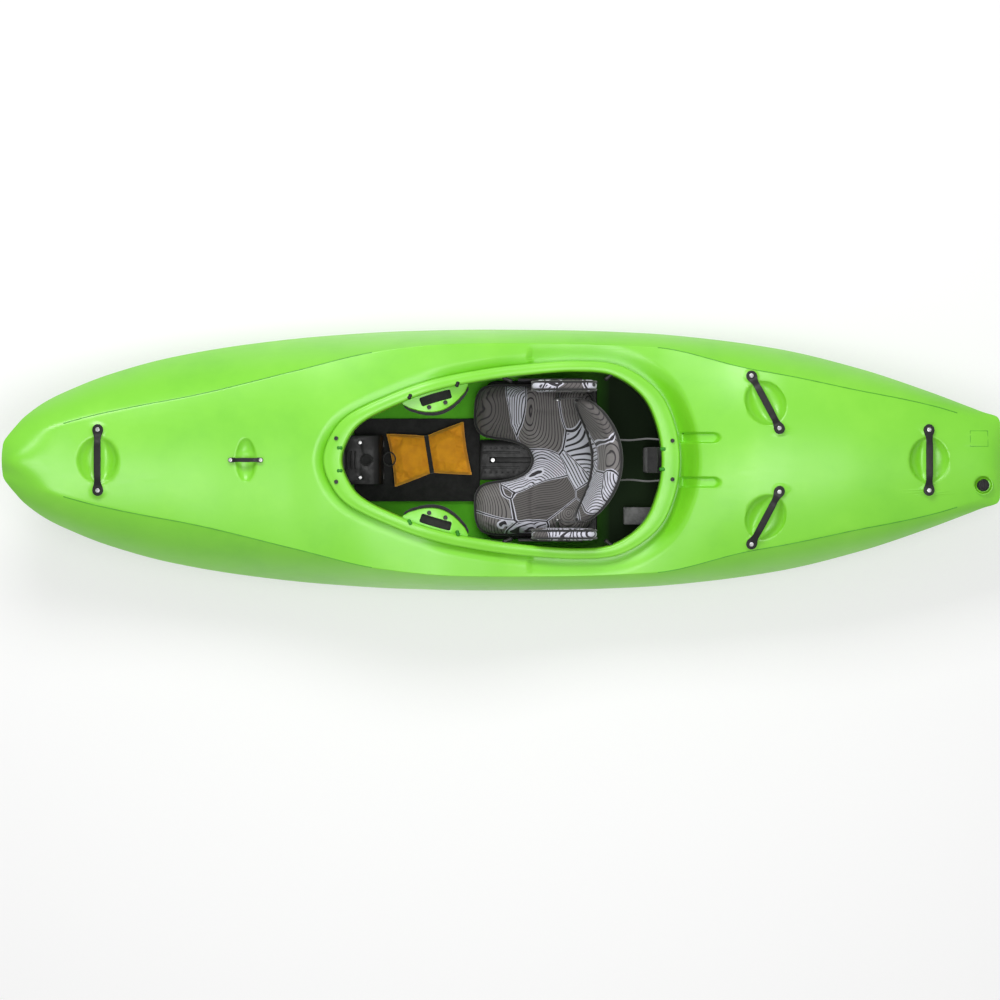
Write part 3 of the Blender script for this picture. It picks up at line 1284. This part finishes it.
# thigh braces with their foam edges
brace = {
    "front": 0.398, "rear": 0.464, "reach": 0.056, "endReach": 0.006, "flange": 0.034, "thick": 0.007,
    "drop": 0.0319, "windowOuter": 0.005, "windowInner": 0.030, "windowFront": 0.414, "windowRear": 0.446,
    "padWidth": 0.0095, "padThick": 0.015, "padRound": 0.0028, "lip": 0.0035, "stations": 56,
    "windowStations": 20, "liningMore": 0.003, "liningNear": 0.0004, "liningFar": 0.004,
}


def braceRun(front, rear, side, count):
    # places on the opening's edge between two shares of the length
    share = shareAt(egg[:, 0])
    keep = (np.sign(egg[:, 1]) == side) & (share >= front) & (share <= rear)
    index = np.where(keep)[0]
    index = index[np.argsort(egg[index, 0])]
    return index[np.linspace(0, len(index) - 1, count).round().astype(int)]


def braceReachAt(t):
    return brace["endReach"] + (brace["reach"] - brace["endReach"]) * np.sin(np.pi * t) ** 0.75


def braceSweep(index, profileOf):
    # a profile carried along the rim, out from the edge and up
    rings = []
    for place, i in enumerate(index):
        t = place / (len(index) - 1)
        top = float(rimHeight(egg[i, 0])) - brace["drop"]
        rings.append([(*(egg[i] + eggOut[i] * out), top + up) for out, up in profileOf(t)])
    return np.array(rings)


def plateProfile(t):
    # tongue into the opening, and a flange under the rim
    reach, thick = float(braceReachAt(t)), brace["thick"]
    outs = [-0.001, brace["flange"] / 2, brace["flange"] - 0.001, brace["flange"]]
    return (arcOf(-reach + thick / 2, -thick / 2, thick / 2, 90, 180, 6) + [(out, -thick) for out in outs]
            + [(out, 0) for out in reversed(outs)])


def edgeProfile(t):
    # foam edge with round corners, along the tongue
    reach = float(braceReachAt(t))
    inner, outer = -reach - brace["padWidth"], -reach - 0.0003
    low, high = brace["lip"] - brace["padThick"], brace["lip"]
    r = brace["padRound"]
    corners = ((inner + r, high - r, 90), (inner + r, low + r, 180), (outer - r, low + r, 270),
               (outer - r, high - r, 0))
    return [spot for x, z, start in corners for spot in arcOf(x, z, r, start, 90, 4)]


def strip(inner, outer, low, high):
    return lambda share: [(inner, low), (outer, low), (outer, high), (inner, high)]


def buildBraces():
    for side, label in bothSides:
        body = f"thigh_brace_{label}"
        finish = (looks["hull"], body, "hull_plastic", [body])
        index = braceRun(brace["front"], brace["rear"], side, brace["stations"])
        plate = sweptPiece(f"brace_plate_{label}", braceSweep(index, plateProfile), *finish)
        window = braceRun(brace["windowFront"], brace["windowRear"], side, brace["windowStations"])
        hole = strip(-brace["windowInner"], -brace["windowOuter"], -0.03, 0.03)
        cutter = sweptPiece("window_cutter", braceSweep(window, hole), looks["hull"], body, None)
        cutter.parent = None
        applied(cutter, "BEVEL", width=0.006, segments=4, limit_method="ANGLE", angle_limit=math.radians(60))
        applied(plate, "BOOLEAN", operation="DIFFERENCE", object=cutter, solver="EXACT")
        removed(cutter)
        applied(plate, "BEVEL", width=0.0009, segments=2, limit_method="ANGLE", angle_limit=math.radians(50))
        finishPiece(plate, *finish)
        edge = sweptPiece(f"brace_foam_{label}", braceSweep(index, edgeProfile), looks["foam"], body,
                          "black_foam", [f"thigh_pad_{label}"], 50)
        front, rear = brace["windowFront"] - brace["liningMore"], brace["windowRear"] + brace["liningMore"]
        behind = braceRun(front, rear, side, brace["windowStations"])
        back = strip(-brace["windowInner"] - 0.005, -brace["windowOuter"] + 0.0015,
                     -brace["thick"] - brace["liningFar"], -brace["thick"] - brace["liningNear"])
        lining = sweptPiece(f"brace_lining_{label}", braceSweep(behind, back), looks["foam"], body,
                            "black_foam", (), 50)


buildBraces()
print("thigh braces")


# covers with a printed pattern
def vectorOf(tree, kind, a, b, c=None):
    node = tree.nodes.new("ShaderNodeVectorMath")
    node.operation = kind
    for socket, value in zip(node.inputs, (a, b, c)):
        if isinstance(value, tuple):
            socket.default_value = value
        elif value is not None:
            tree.links.new(value, socket)
    return node.outputs["Value" if kind == "DISTANCE" else "Vector"]


def mixOf(tree, factor, a, b):
    node = tree.nodes.new("ShaderNodeMix")
    node.data_type = "RGBA"
    tree.links.new(factor, node.inputs[0])
    for socket, value in ((node.inputs[6], a), (node.inputs[7], b)):
        if isinstance(value, tuple):
            socket.default_value = (*value, 1)
        else:
            tree.links.new(value, socket)
    return node.outputs[2]


def printedCloth():
    # lobes filled with bundles of curved strokes, each bundle round a centre of its own
    look = {"cells": 8.0, "lines": 800.0, "lead": 0.22, "warpScale": 3.4, "warp": 0.24, "disc": 0.15,
            "dark": (0.050, 0.045, 0.046), "middle": (0.200, 0.188, 0.185), "dim": (0.125, 0.116, 0.113),
            "light": (0.62, 0.62, 0.70), "ink": (0.030, 0.027, 0.032)}
    material, tree, shader = newMaterial("printedCloth", look["middle"], 0.78, specular=0.3, sheen=0.12)
    point = objectPoint(tree, (1, 0.85, 0.7), (0, 0, 0.5))
    warp = addNode(tree, "ShaderNodeTexNoise", Scale=look["warpScale"], Detail=1.0)
    tree.links.new(point, warp.inputs["Vector"])
    shift = vectorOf(tree, "SUBTRACT", warp.outputs["Color"], (0.5, 0.5, 0.5))
    bent = vectorOf(tree, "MULTIPLY_ADD", shift, (look["warp"],) * 3, point)
    cells = addNode(tree, "ShaderNodeTexVoronoi", Scale=look["cells"], Randomness=0.85)
    tree.links.new(bent, cells.inputs["Vector"])
    edges = addNode(tree, "ShaderNodeTexVoronoi", Scale=look["cells"], Randomness=0.85)
    edges.feature = "DISTANCE_TO_EDGE"
    tree.links.new(bent, edges.inputs["Vector"])
    aside = vectorOf(tree, "SUBTRACT", cells.outputs["Color"], (0.5, 0.5, 0.5))
    lead = vectorOf(tree, "MULTIPLY_ADD", aside, (look["lead"],) * 3, cells.outputs["Position"])
    away = vectorOf(tree, "DISTANCE", bent, lead)
    wave = mathOf(tree, "SINE", mathOf(tree, "MULTIPLY", away, look["lines"]), 0.0)
    strokes = mathOf(tree, "MULTIPLY", mathOf(tree, "ADD", wave, 1.0), 0.5)
    split = tree.nodes.new("ShaderNodeSeparateColor")
    tree.links.new(cells.outputs["Color"], split.inputs["Color"])
    pale = rampOf(tree, strokes, [(0.0, look["ink"]), (0.20, look["ink"]), (0.36, look["light"])])
    deep = rampOf(tree, strokes, [(0.0, look["ink"]), (0.08, look["dark"]), (0.26, look["middle"])])
    dusk = rampOf(tree, strokes, [(0.0, look["ink"]), (0.08, look["dark"]), (0.26, look["dim"])])
    color = mixOf(tree, mathOf(tree, "GREATER_THAN", split.outputs["Green"], 0.6), deep, dusk)
    color = mixOf(tree, mathOf(tree, "GREATER_THAN", split.outputs["Red"], 0.40), color, pale)
    disc = mathOf(tree, "GREATER_THAN", split.outputs["Blue"], 0.6)
    for reach, tone in ((look["disc"] + 0.035, look["light"]), (look["disc"], look["ink"])):
        within = mathOf(tree, "LESS_THAN", cells.outputs["Distance"], reach)
        color = mixOf(tree, mathOf(tree, "MULTIPLY", within, disc), color, tone)
    for reach, tone in ((0.028, look["light"]), (0.014, look["ink"])):
        color = mixOf(tree, mathOf(tree, "LESS_THAN", edges.outputs["Distance"], reach), color, tone)
    tree.links.new(color, shader.inputs["Base Color"])
    bumpOn(tree, shader, noiseOf(tree, objectPoint(tree), 900.0, 2), 0.3, 0.0006)
    return material


looks["print"] = printedCloth()


# padded pieces: an outline raised, remeshed, crowned and settled
def outlineDistance(spots, outline):
    ring = np.array(outline, float)
    least = np.full(len(spots), 1e9)
    for a, b in zip(ring, np.roll(ring, -1, 0)):
        edge = b - a
        t = np.clip(((spots - a) @ edge) / (edge @ edge), 0, 1)
        least = np.minimum(least, np.linalg.norm(spots - a - t[:, None] * edge, axis=1))
    return least


def padPiece(name, outline, thickness, cell, heightAt, flatFoot=False, smoothing=6):
    piece = added(bpy.ops.mesh.primitive_circle_add, vertices=len(outline), radius=1, fill_type="NGON")
    piece.name = name
    for vertex, (x, y) in zip(piece.data.vertices, outline):
        vertex.co = (x, y, 0)
    bpy.ops.object.mode_set(mode="EDIT")
    bpy.ops.mesh.select_all(action="SELECT")
    bpy.ops.mesh.extrude_region_move(TRANSFORM_OT_translate={"value": (0, 0, thickness)})
    bpy.ops.mesh.select_all(action="SELECT")
    bpy.ops.mesh.normals_make_consistent(inside=False)
    leaveEdit()
    applied(piece, "REMESH", mode="VOXEL", voxel_size=cell)

    def crowned(spots):
        share = np.clip(spots[:, 2] / thickness, 0, 1)
        height = heightAt(spots[:, 0], spots[:, 1], outlineDistance(spots[:, :2], outline))
        spots[:, 2] = (share if flatFoot else share - 0.5) * height
        return spots

    reshaped(piece, crowned)
    applied(piece, "SMOOTH", factor=0.5, iterations=smoothing)
    return piece


def crown(distance, reach, edge=0.25):
    # share of the full thickness at a distance from the seam
    t = np.clip(distance / reach, 0, 1)
    return edge + (1 - edge) * np.sqrt(1 - (1 - t) ** 2)


settle = {"frames": 20, "pressure": 4.0, "swell": -0.05, "pinWidth": 0.006, "mass": 0.3}


def settled(piece, outline, cap, pressure=None, pinch=0.0):
    # cloth under light pressure, held along its seam, with its movement limited
    scene = bpy.context.scene
    mesh = piece.data
    rest = np.zeros(len(mesh.vertices) * 3, np.float32)
    mesh.vertices.foreach_get("co", rest)
    rest = rest.reshape(-1, 3)
    seam = outlineDistance(rest[:, :2].astype(float), outline) < settle["pinWidth"]
    seam |= np.abs(rest[:, 0]) < pinch
    group = piece.vertex_groups.new(name="seam")
    group.add([int(i) for i in np.where(seam)[0]], 1.0, "REPLACE")
    cloth = piece.modifiers.new("cloth", "CLOTH")
    cloth.settings.quality = 5
    cloth.settings.mass = settle["mass"]
    cloth.settings.use_pressure = True
    cloth.settings.uniform_pressure_force = pressure or settle["pressure"]
    cloth.settings.effector_weights.gravity = 0
    cloth.settings.shrink_min = settle["swell"]
    cloth.settings.vertex_group_mass = "seam"
    cloth.settings.bending_stiffness = 0.3
    cloth.point_cache.frame_start = 1
    cloth.point_cache.frame_end = settle["frames"]
    for step in range(1, settle["frames"] + 1):
        scene.frame_set(step)
    shown = piece.evaluated_get(bpy.context.evaluated_depsgraph_get())
    found = np.zeros(len(shown.data.vertices) * 3, np.float32)
    shown.data.vertices.foreach_get("co", found)
    found = found.reshape(-1, 3)
    piece.modifiers.remove(cloth)
    scene.frame_set(1)
    shift = found - rest
    length = np.linalg.norm(shift, axis=1)[:, None]
    shift = np.where(length > cap, shift / np.maximum(length, 1e-9) * cap, shift)
    mesh.vertices.foreach_set("co", (rest + np.nan_to_num(shift)).reshape(-1))
    mesh.update()
    piece.vertex_groups.clear()
    return piece


def kept(piece, low, high):
    # keeps a soft piece inside its allowed space
    return reshaped(piece, lambda spots: np.clip(spots, np.array(low), np.array(high)))


def smoothOutline(points, count):
    return [tuple(p) for p in roundedCurve(points, count)]


cushion = {
    "port": [
        (0.079, 0.014), (0.068, 0.032), (0.042, 0.048), (0.006, 0.058), (-0.034, 0.064), (-0.062, 0.074),
        (-0.077, 0.098), (-0.079, 0.135), (-0.075, 0.172), (-0.060, 0.198), (-0.026, 0.208), (0.04, 0.208),
        (0.12, 0.208), (0.19, 0.206), (0.232, 0.192), (0.252, 0.16), (0.259, 0.11), (0.260, 0.05)],
    "lobe": 0.070, "body": 0.060, "dish": 0.016, "seam": 0.0055, "reach": 0.038, "cell": 0.0042,
    "piping": 0.0038, "low": (-0.0805, -0.2098), "high": (0.2615, 0.2098, 0.1163),
}


def cushionHeight(x, y, distance):
    # thigh lobes, seat dish and sunk seams
    side = np.abs(y)
    lobe = 1 - smoothStep(0.05, 0.15, x)
    height = cushion["body"] + (cushion["lobe"] - cushion["body"]) * lobe
    dish = np.exp(-((x - 0.17) / 0.07) ** 2 - (side / 0.10) ** 2)
    height = height - cushion["dish"] * dish
    lobeLine = 0.078 + 0.25 * (side - 0.12) ** 2 / 0.1
    lobeSeam = np.exp(-((x - lobeLine) / 0.006) ** 2) * smoothStep(0.02, 0.05, side)
    sideSeam = np.exp(-((side - 0.138) / 0.005) ** 2) * smoothStep(0.075, 0.095, x)
    middle = np.exp(-(y / 0.005) ** 2) * smoothStep(0.07, 0.09, x) * (1 - smoothStep(0.13, 0.16, x))
    height = height - cushion["seam"] * np.maximum(np.maximum(lobeSeam, sideSeam), middle)
    return height * crown(distance, cushion["reach"], 0.42)


def buildCushion():
    points = [(0.083, 0.0), *cushion["port"], (0.2605, 0.0), *[(x, -y) for x, y in reversed(cushion["port"])]]
    outline = smoothOutline(points[::-1], 220)
    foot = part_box("seat_pan")[1].z + 0.0005
    piece = padPiece("seat_pad", outline, 0.05, cushion["cell"], cushionHeight, True)
    settled(piece, outline, 0.006)
    applied(piece, "SUBSURF", levels=1, render_levels=1)
    piece.data.transform(Matrix.Translation((0, 0, foot)))
    kept(piece, (*cushion["low"], foot), cushion["high"])
    finishPiece(piece, looks["print"], "seat", "seat_fabric", ["seat_cushion"], 70)
    for label, share, inset in (("upper", 0.86, 0.994), ("lower", 0.1, 1.0)):
        path = []
        for x, y in outline:
            height = float(cushionHeight(np.array([x]), np.array([y]), np.array([0.003]))[0])
            path.append((x * inset, y * inset, foot + max(height * share, 0.0028)))
        tube(f"seat_piping_{label}", path, cushion["piping"], looks["webbing"], "seat", "webbing", True, 10)


buildCushion()
print("seat cushion")


hipPad = {"length": 0.178, "height": 0.158, "thick": 0.031, "front": 0.076, "top": 0.343, "inner": 0.186,
          "cell": 0.0038, "piping": 0.0030, "pipingDepth": 0.0105, "laceRadius": 0.0019, "corner": 0.036,
          "low": (0.0762, 0.1862, 0.1852), "high": (0.2538, 0.2176, 0.3428),
          "laces": [((-0.055, 0.0), (0.005, 0.074)), ((0.005, 0.074), (0.062, 0.0))]}


def roundedBox(length, width, corner, count, draw=0.0):
    x, y = length / 2 - corner, width / 2 - corner
    points = arcOf(x, y, corner, 0, 90, 8) + arcOf(-x, y, corner, 90, 90, 8)
    points += arcOf(-x, -y, corner, 180, 90, 8) + arcOf(x, -y, corner, 270, 90, 8)
    ring = evenly(np.array(points + points[:1]), count + 1)[:-1]
    ring[:, 1] *= 1 - draw * np.cos(ring[:, 0] / length * math.pi) ** 2
    return [tuple(p) for p in ring]


def hipHeight(x, y, distance):
    return hipPad["thick"] * crown(distance, 0.045, 0.30) * (1 - 0.12 * np.exp(-(x / 0.006) ** 2))


def laceLine(start, end, outline, side, turned):
    # a lace over the pad's crown, kept inside the hip wall
    lace = []
    for t in np.linspace(0, 1, 26):
        u, v = (a + (b - a) * t for a, b in zip(start, end))
        away = outlineDistance(np.array([[u, v]]), outline)
        out = hipPad["thick"] / 2 * float(crown(away, 0.045, 0.30)[0]) + 0.0006
        x, y, z = turned @ Vector((u, v, -side * out))
        lace.append((x, side * min(abs(y), hipPad["high"][1] - 0.0004), z))
    return lace


def buildHipPads():
    size = hipPad
    outline = roundedBox(size["length"], size["height"], size["corner"], 120, 0.03)
    flat = padPiece("hip_flat", outline, 0.02, size["cell"], hipHeight)
    settled(flat, outline, 0.004)
    applied(flat, "SUBSURF", levels=1, render_levels=1)
    middle = Vector((size["front"] + size["length"] / 2, 0, size["top"] - size["height"] / 2))
    for side, label in bothSides:
        y = side * (size["inner"] + 0.016 - 0.00015)
        turned = Matrix(((1, 0, 0, middle.x), (0, 0, side, y), (0, 1, 0, middle.z), (0, 0, 0, 1)))
        piece = copied(flat, f"hip_cushion_{label}", turned)
        if side > 0:
            piece.data.flip_normals()
        inner, outer = sorted((side * size["low"][1], side * size["high"][1]))
        kept(piece, (size["low"][0], inner, size["low"][2]), (size["high"][0], outer, size["high"][2]))
        finishPiece(piece, looks["print"], "seat", "seat_fabric", [f"hip_pad_{label}"], 70)
        for place, depth in (("inner", -size["pipingDepth"]), ("outer", size["pipingDepth"])):
            ring = [tuple(turned @ Vector((x * 0.975, z * 0.975, depth))) for x, z in outline]
            tube(f"hip_piping_{label}_{place}", ring, size["piping"], looks["webbing"], "seat", "webbing",
                 True)
        for count, (start, end) in enumerate(size["laces"]):
            lace = laceLine(start, end, outline, side, turned)
            tube(f"hip_lace_{label}_{count + 1}", lace, size["laceRadius"], looks["blackCord"], "seat",
                 "webbing", False, 8)
    removed(flat)


buildHipPads()
print("hip pads")


band = {"half": 0.168, "height": 0.165, "thick": 0.034, "sweep": 0.074, "rear": 0.318, "top": 0.345,
        "lean": 18, "cell": 0.0042, "piping": 0.0044, "frontDepth": -0.0155, "rearDepth": 0.0125,
        "carrier": 0.004, "seam": 0.075}


def bandPlace(spots):
    # bends a flat pad into the backband's curve
    lean = math.radians(band["lean"])
    share = spots[:, 0] / band["half"]
    middleX = band["rear"] - band["thick"] - band["sweep"] * share ** 2
    middleZ = band["top"] - band["height"] / 2
    x = middleX + spots[:, 2] * math.cos(lean) + spots[:, 1] * math.sin(lean)
    z = middleZ + spots[:, 1] * math.cos(lean) - spots[:, 2] * math.sin(lean)
    return np.stack([x, spots[:, 0], z], 1)


def bandHeight(x, y, distance):
    seam = np.exp(-((np.abs(x) - band["seam"]) / 0.005) ** 2)
    return band["thick"] * crown(distance, 0.04, 0.34) * (1 - 0.16 * seam)


def buildBackband():
    half, tall = band["half"] - 0.001, band["height"] / 2
    points = []
    for step in range(24):
        angle = 2 * math.pi * step / 24
        c, s = math.cos(angle), math.sin(angle)
        points.append((half * abs(c) ** 0.62 * np.sign(c), tall * 0.985 * abs(s) ** 0.72 * np.sign(s)
                       * (1 - 0.30 * abs(math.cos(angle)) ** 5)))
    outline = smoothOutline(points, 150)
    piece = padPiece("back_pad", outline, 0.02, band["cell"], bandHeight)
    settled(piece, outline, 0.0045)
    applied(piece, "SUBSURF", levels=1, render_levels=1)
    reshaped(piece, bandPlace)
    low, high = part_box("backband_pad")
    kept(piece, low, high)
    finishPiece(piece, looks["print"], "backband", "seat_fabric", ["backband_pad"], 70)
    outwards(piece)
    for label, depth, side in (("front", band["frontDepth"], -1), ("rear", band["rearDepth"], 1)):
        part = sorted((x, y) for x, y in outline if y * side > -0.004)
        ring = bandPlace(np.array([(x * 0.975, y * 0.965, depth) for x, y in part]))
        tube(f"back_piping_{label}", ring, band["piping"], looks["webbing"], "backband", "webbing")
    reach, high = half * 0.8, tall * 0.6
    rows = []
    offset = (band["thick"] + band["carrier"]) / 2 + 0.0006
    for across in np.linspace(-reach, reach, 60):
        limit = high * (1 - 0.25 * abs(across / reach) ** 8)
        ups = np.linspace(-limit, limit, 12)
        ring = [(across, up, offset - band["carrier"] / 2) for up in ups]
        ring += [(across, up, offset + band["carrier"] / 2) for up in ups[::-1]]
        rows.append(bandPlace(np.array(ring)))
    carrier = sweptPiece("back_carrier", np.array(rows), looks["black"], "backband", "black_plastic",
                         ["backband_carrier"], 40)
    applied(carrier, "BEVEL", width=0.0008, segments=2, limit_method="ANGLE", angle_limit=math.radians(50))


buildBackband()
print("backband")


def buildFootPad():
    low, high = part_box("footrest_pad")
    tall, wide, thick = high.z - low.z, high.y - low.y, high.x - low.x
    outline = roundedBox(wide - 0.002, tall - 0.002, 0.03, 110)
    piece = padPiece("foot_pad", outline, 0.012, 0.005, lambda x, y, d: thick * crown(d, 0.02, 0.55))
    middle = (low + high) / 2
    turned = Matrix(((0, 0, 1, middle.x), (1, 0, 0, middle.y), (0, 1, 0, middle.z), (0, 0, 0, 1)))
    piece.data.transform(turned)
    kept(piece, low, high)
    finishPiece(piece, looks["foam"], "footrest", "black_foam", ["footrest_pad"], 60)


buildFootPad()


pouch = {"length": 0.222, "width": 0.154, "waist": 0.104, "thick": 0.044, "turn": 9, "x": -0.208, "y": 0.016,
         "cell": 0.0036, "piping": 0.0019, "stitch": 0.0006, "band": 0.012, "bandHalf": 0.0142,
         "loop": (0.017, 0.019, 0.006)}


def pouchHeight(x, y, distance):
    swell = pouch["thick"] * crown(distance, 0.052, 0.10)
    pinch = 1 - 0.44 * np.exp(-(x / 0.014) ** 2)
    return swell * pinch


def buildPouch():
    half, wide, waist = pouch["length"] / 2 - 0.003, pouch["width"] / 2 - 0.001, pouch["waist"] / 2
    upper = [(t * half, waist - 0.002 + (wide - waist) * abs(t) ** 0.9) for t in np.linspace(-1, 1, 25)]
    ends = [(half * (1 - 0.035 * (1 - (s / wide) ** 2)), s) for s in np.linspace(wide, -wide, 12)[1:-1]]
    lower = [(x, -y) for x, y in reversed(upper)]
    left = [(-x, -y) for x, y in ends]
    ring = np.array(upper + ends + lower + left)
    outline = [tuple(p) for p in evenly(np.vstack([ring, ring[:1]]), 161)[:-1]]
    piece = padPiece("pouch_body", outline, 0.02, pouch["cell"], pouchHeight, smoothing=4)
    settled(piece, outline, 0.009, 8.0, 0.008)
    applied(piece, "SUBSURF", levels=1, render_levels=1)
    low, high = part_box("gear_pouch")
    middle = (low.z + high.z) / 2
    turned = Matrix.Rotation(math.radians(pouch["turn"]), 4, "Z")
    place = Matrix.Translation((pouch["x"], pouch["y"], middle)) @ turned
    piece.data.transform(place)
    kept(piece, (low.x - 0.002, low.y - 0.002, low.z), (high.x + 0.002, high.y + 0.002, high.z + 0.002))
    finishPiece(piece, looks["pouch"], "hull", "pouch_fabric", ["gear_pouch"], 70)
    seam = [tuple(place @ Vector((x * 0.997, y * 0.997, 0))) for x, y in outline]
    tube("pouch_piping", seam, pouch["piping"], looks["pouchSeam"], "hull", "pouch_fabric", True, 8)
    inner = [(x * 0.93, y * 0.90) for x, y in outline]
    for label, side in (("upper", 1), ("lower", -1)):
        path = []
        for x, y in inner:
            away = outlineDistance(np.array([[x, y]]), outline)
            lift = float(pouchHeight(np.array([x]), np.array([y]), away)[0]) / 2
            path.append(tuple(place @ Vector((x, y, side * lift))))
        tube(f"pouch_stitch_{label}", path, pouch["stitch"], looks["pouchSeam"], "hull", "pouch_fabric",
             True, 6)
    rings = []
    for x in np.linspace(-pouch["band"] / 2, pouch["band"] / 2, 5):
        ring = []
        for step in range(64):
            angle = 2 * math.pi * step / 64
            c, s = math.cos(angle), math.sin(angle)
            grow = 0.0016 if abs(x) > 0.005 else 0.0022
            ring.append(tuple(place @ Vector((x, np.sign(c) * abs(c) ** 0.8 * (waist + grow),
                                              np.sign(s) * abs(s) ** 0.6 * (pouch["bandHalf"] + grow)))))
        rings.append(ring)
    strap = gridMesh("pouch_strap", np.array(rings), looks["webbing"], "hull", "webbing", ["pouch_band"], 40,
                     wrapColumns=True)
    applied(strap, "SOLIDIFY", thickness=0.0014, offset=-1)
    kept(strap, (-1, -1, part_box("pouch_band")[0].z - 0.0002), (1, 1, 0.09))
    outwards(strap)
    centre = place @ Vector((-half - 0.004, 0.004, 0.010))
    a, b, c = pouch["loop"]
    loop = [(centre.x + a * math.cos(angle), centre.y + b * math.sin(angle), centre.z + c * math.cos(angle))
            for angle in np.arange(40) * math.pi / 20]
    tube("pouch_loop", loop, pouch["piping"], looks["blackCord"], "hull", "webbing", True)


buildPouch()
print("pouch")


# cords behind the backband, and the small toggles at the rim
rope = {"radius": 0.0025, "toggle": 0.0066, "toggleLength": 0.030, "peg": 0.0062, "pegLength": 0.0165}


def buildCords():
    for side, label in bothSides:
        low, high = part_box(f"backband_cord_{label}")
        y, z = (low.y + high.y) / 2, (low.z + high.z) / 2
        path = smoothPath([
            (high.x, y, z), (high.x - 0.035, y + side * 0.002, z - 0.001),
            (high.x - 0.08, y - side * 0.002, z), (low.x + 0.001, y, z)], 40)
        piece = tube(f"back_cord_{label}", path, rope["radius"], looks["cord"], "backband", "cord", sides=12,
                     replaced=[f"backband_cord_{label}"])
        piece.parent = None
        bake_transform(piece)


buildCords()


pegs = [
    (-0.442, 0.033, 0, "peg", "hull_plastic"), (-0.442, -0.029, 0, "peg", "hull_plastic"),
    (0.434, 0.030, 0, "peg", "hull_plastic"), (0.432, -0.025, 0, "peg", "hull_plastic"),
    (-0.253, 0.171, 62, "black", "black_plastic"), (-0.125, 0.205, 70, "black", "black_plastic"),
    (-0.253, -0.168, -62, "peg", "hull_plastic"), (-0.124, -0.198, -70, "peg", "hull_plastic"),
]


def toggle(name, spot, heading, length, radius, look="black", slot="black_plastic"):
    piece = added(bpy.ops.mesh.primitive_uv_sphere_add, segments=24, ring_count=14, radius=radius)

    def stretched(spots):
        spots[:, 0] += np.sign(spots[:, 0]) * (length / 2 - radius) * (np.abs(spots[:, 0]) > radius * 0.02)
        waist = 1 - 0.28 * np.exp(-(spots[:, 0] / 0.003) ** 2)
        spots[:, 1] *= waist
        spots[:, 2] *= waist
        return spots

    reshaped(piece, stretched)
    piece.name = name
    piece.data.transform(Matrix.Translation(spot) @ Matrix.Rotation(math.radians(heading), 4, "Z"))
    return finishPiece(piece, looks[look], "hull", slot, (), 60)


def buildToggles():
    rows = [("rear", 0.287, 0.2265, 40), ("front", 0.012, 0.2135, 158)]
    for side, label in bothSides:
        for end, x, y, heading in rows:
            nearest = ((egg - np.array([x, side * y])) ** 2).sum(1).argmin()
            inner = egg[nearest] - eggOut[nearest] * 0.0062
            z = float(rimHeight(inner[0])) - 0.012
            toggle(f"toggle_{end}_{label}", (inner[0], inner[1], z), side * heading, rope["toggleLength"],
                   rope["toggle"])
    for number, (x, y, heading, look, slot) in enumerate(pegs):
        toggle(f"rim_peg_{number + 1}", (x, y, float(rimHeight(x)) - 0.0022), heading, rope["pegLength"],
               rope["peg"], look, slot)


buildToggles()
print("cords and toggles")


# floor: paler to the camera than its own light makes it, with its shadow kept
floor = {"size": 60, "lit": 0.8, "seen": 0.56, "glow": 0.44}
bpy.ops.mesh.primitive_plane_add(size=floor["size"], location=(0, 0, 0))
ground = bpy.context.object
ground.name = "studioFloor"
groundMaterial, groundTree, groundShader = newMaterial("paleFloor", grey(floor["lit"]), 0.9, specular=0.2)
shade = between(groundTree, seenRays(groundTree), floor["lit"], floor["seen"])
groundTree.links.new(shade, groundShader.inputs["Base Color"])
groundShader.inputs["Emission Color"].default_value = (1, 1, 1, 1)
lift = between(groundTree, seenRays(groundTree), 0.0, floor["glow"])
groundTree.links.new(lift, groundShader.inputs["Emission Strength"])
paint(ground, groundMaterial)
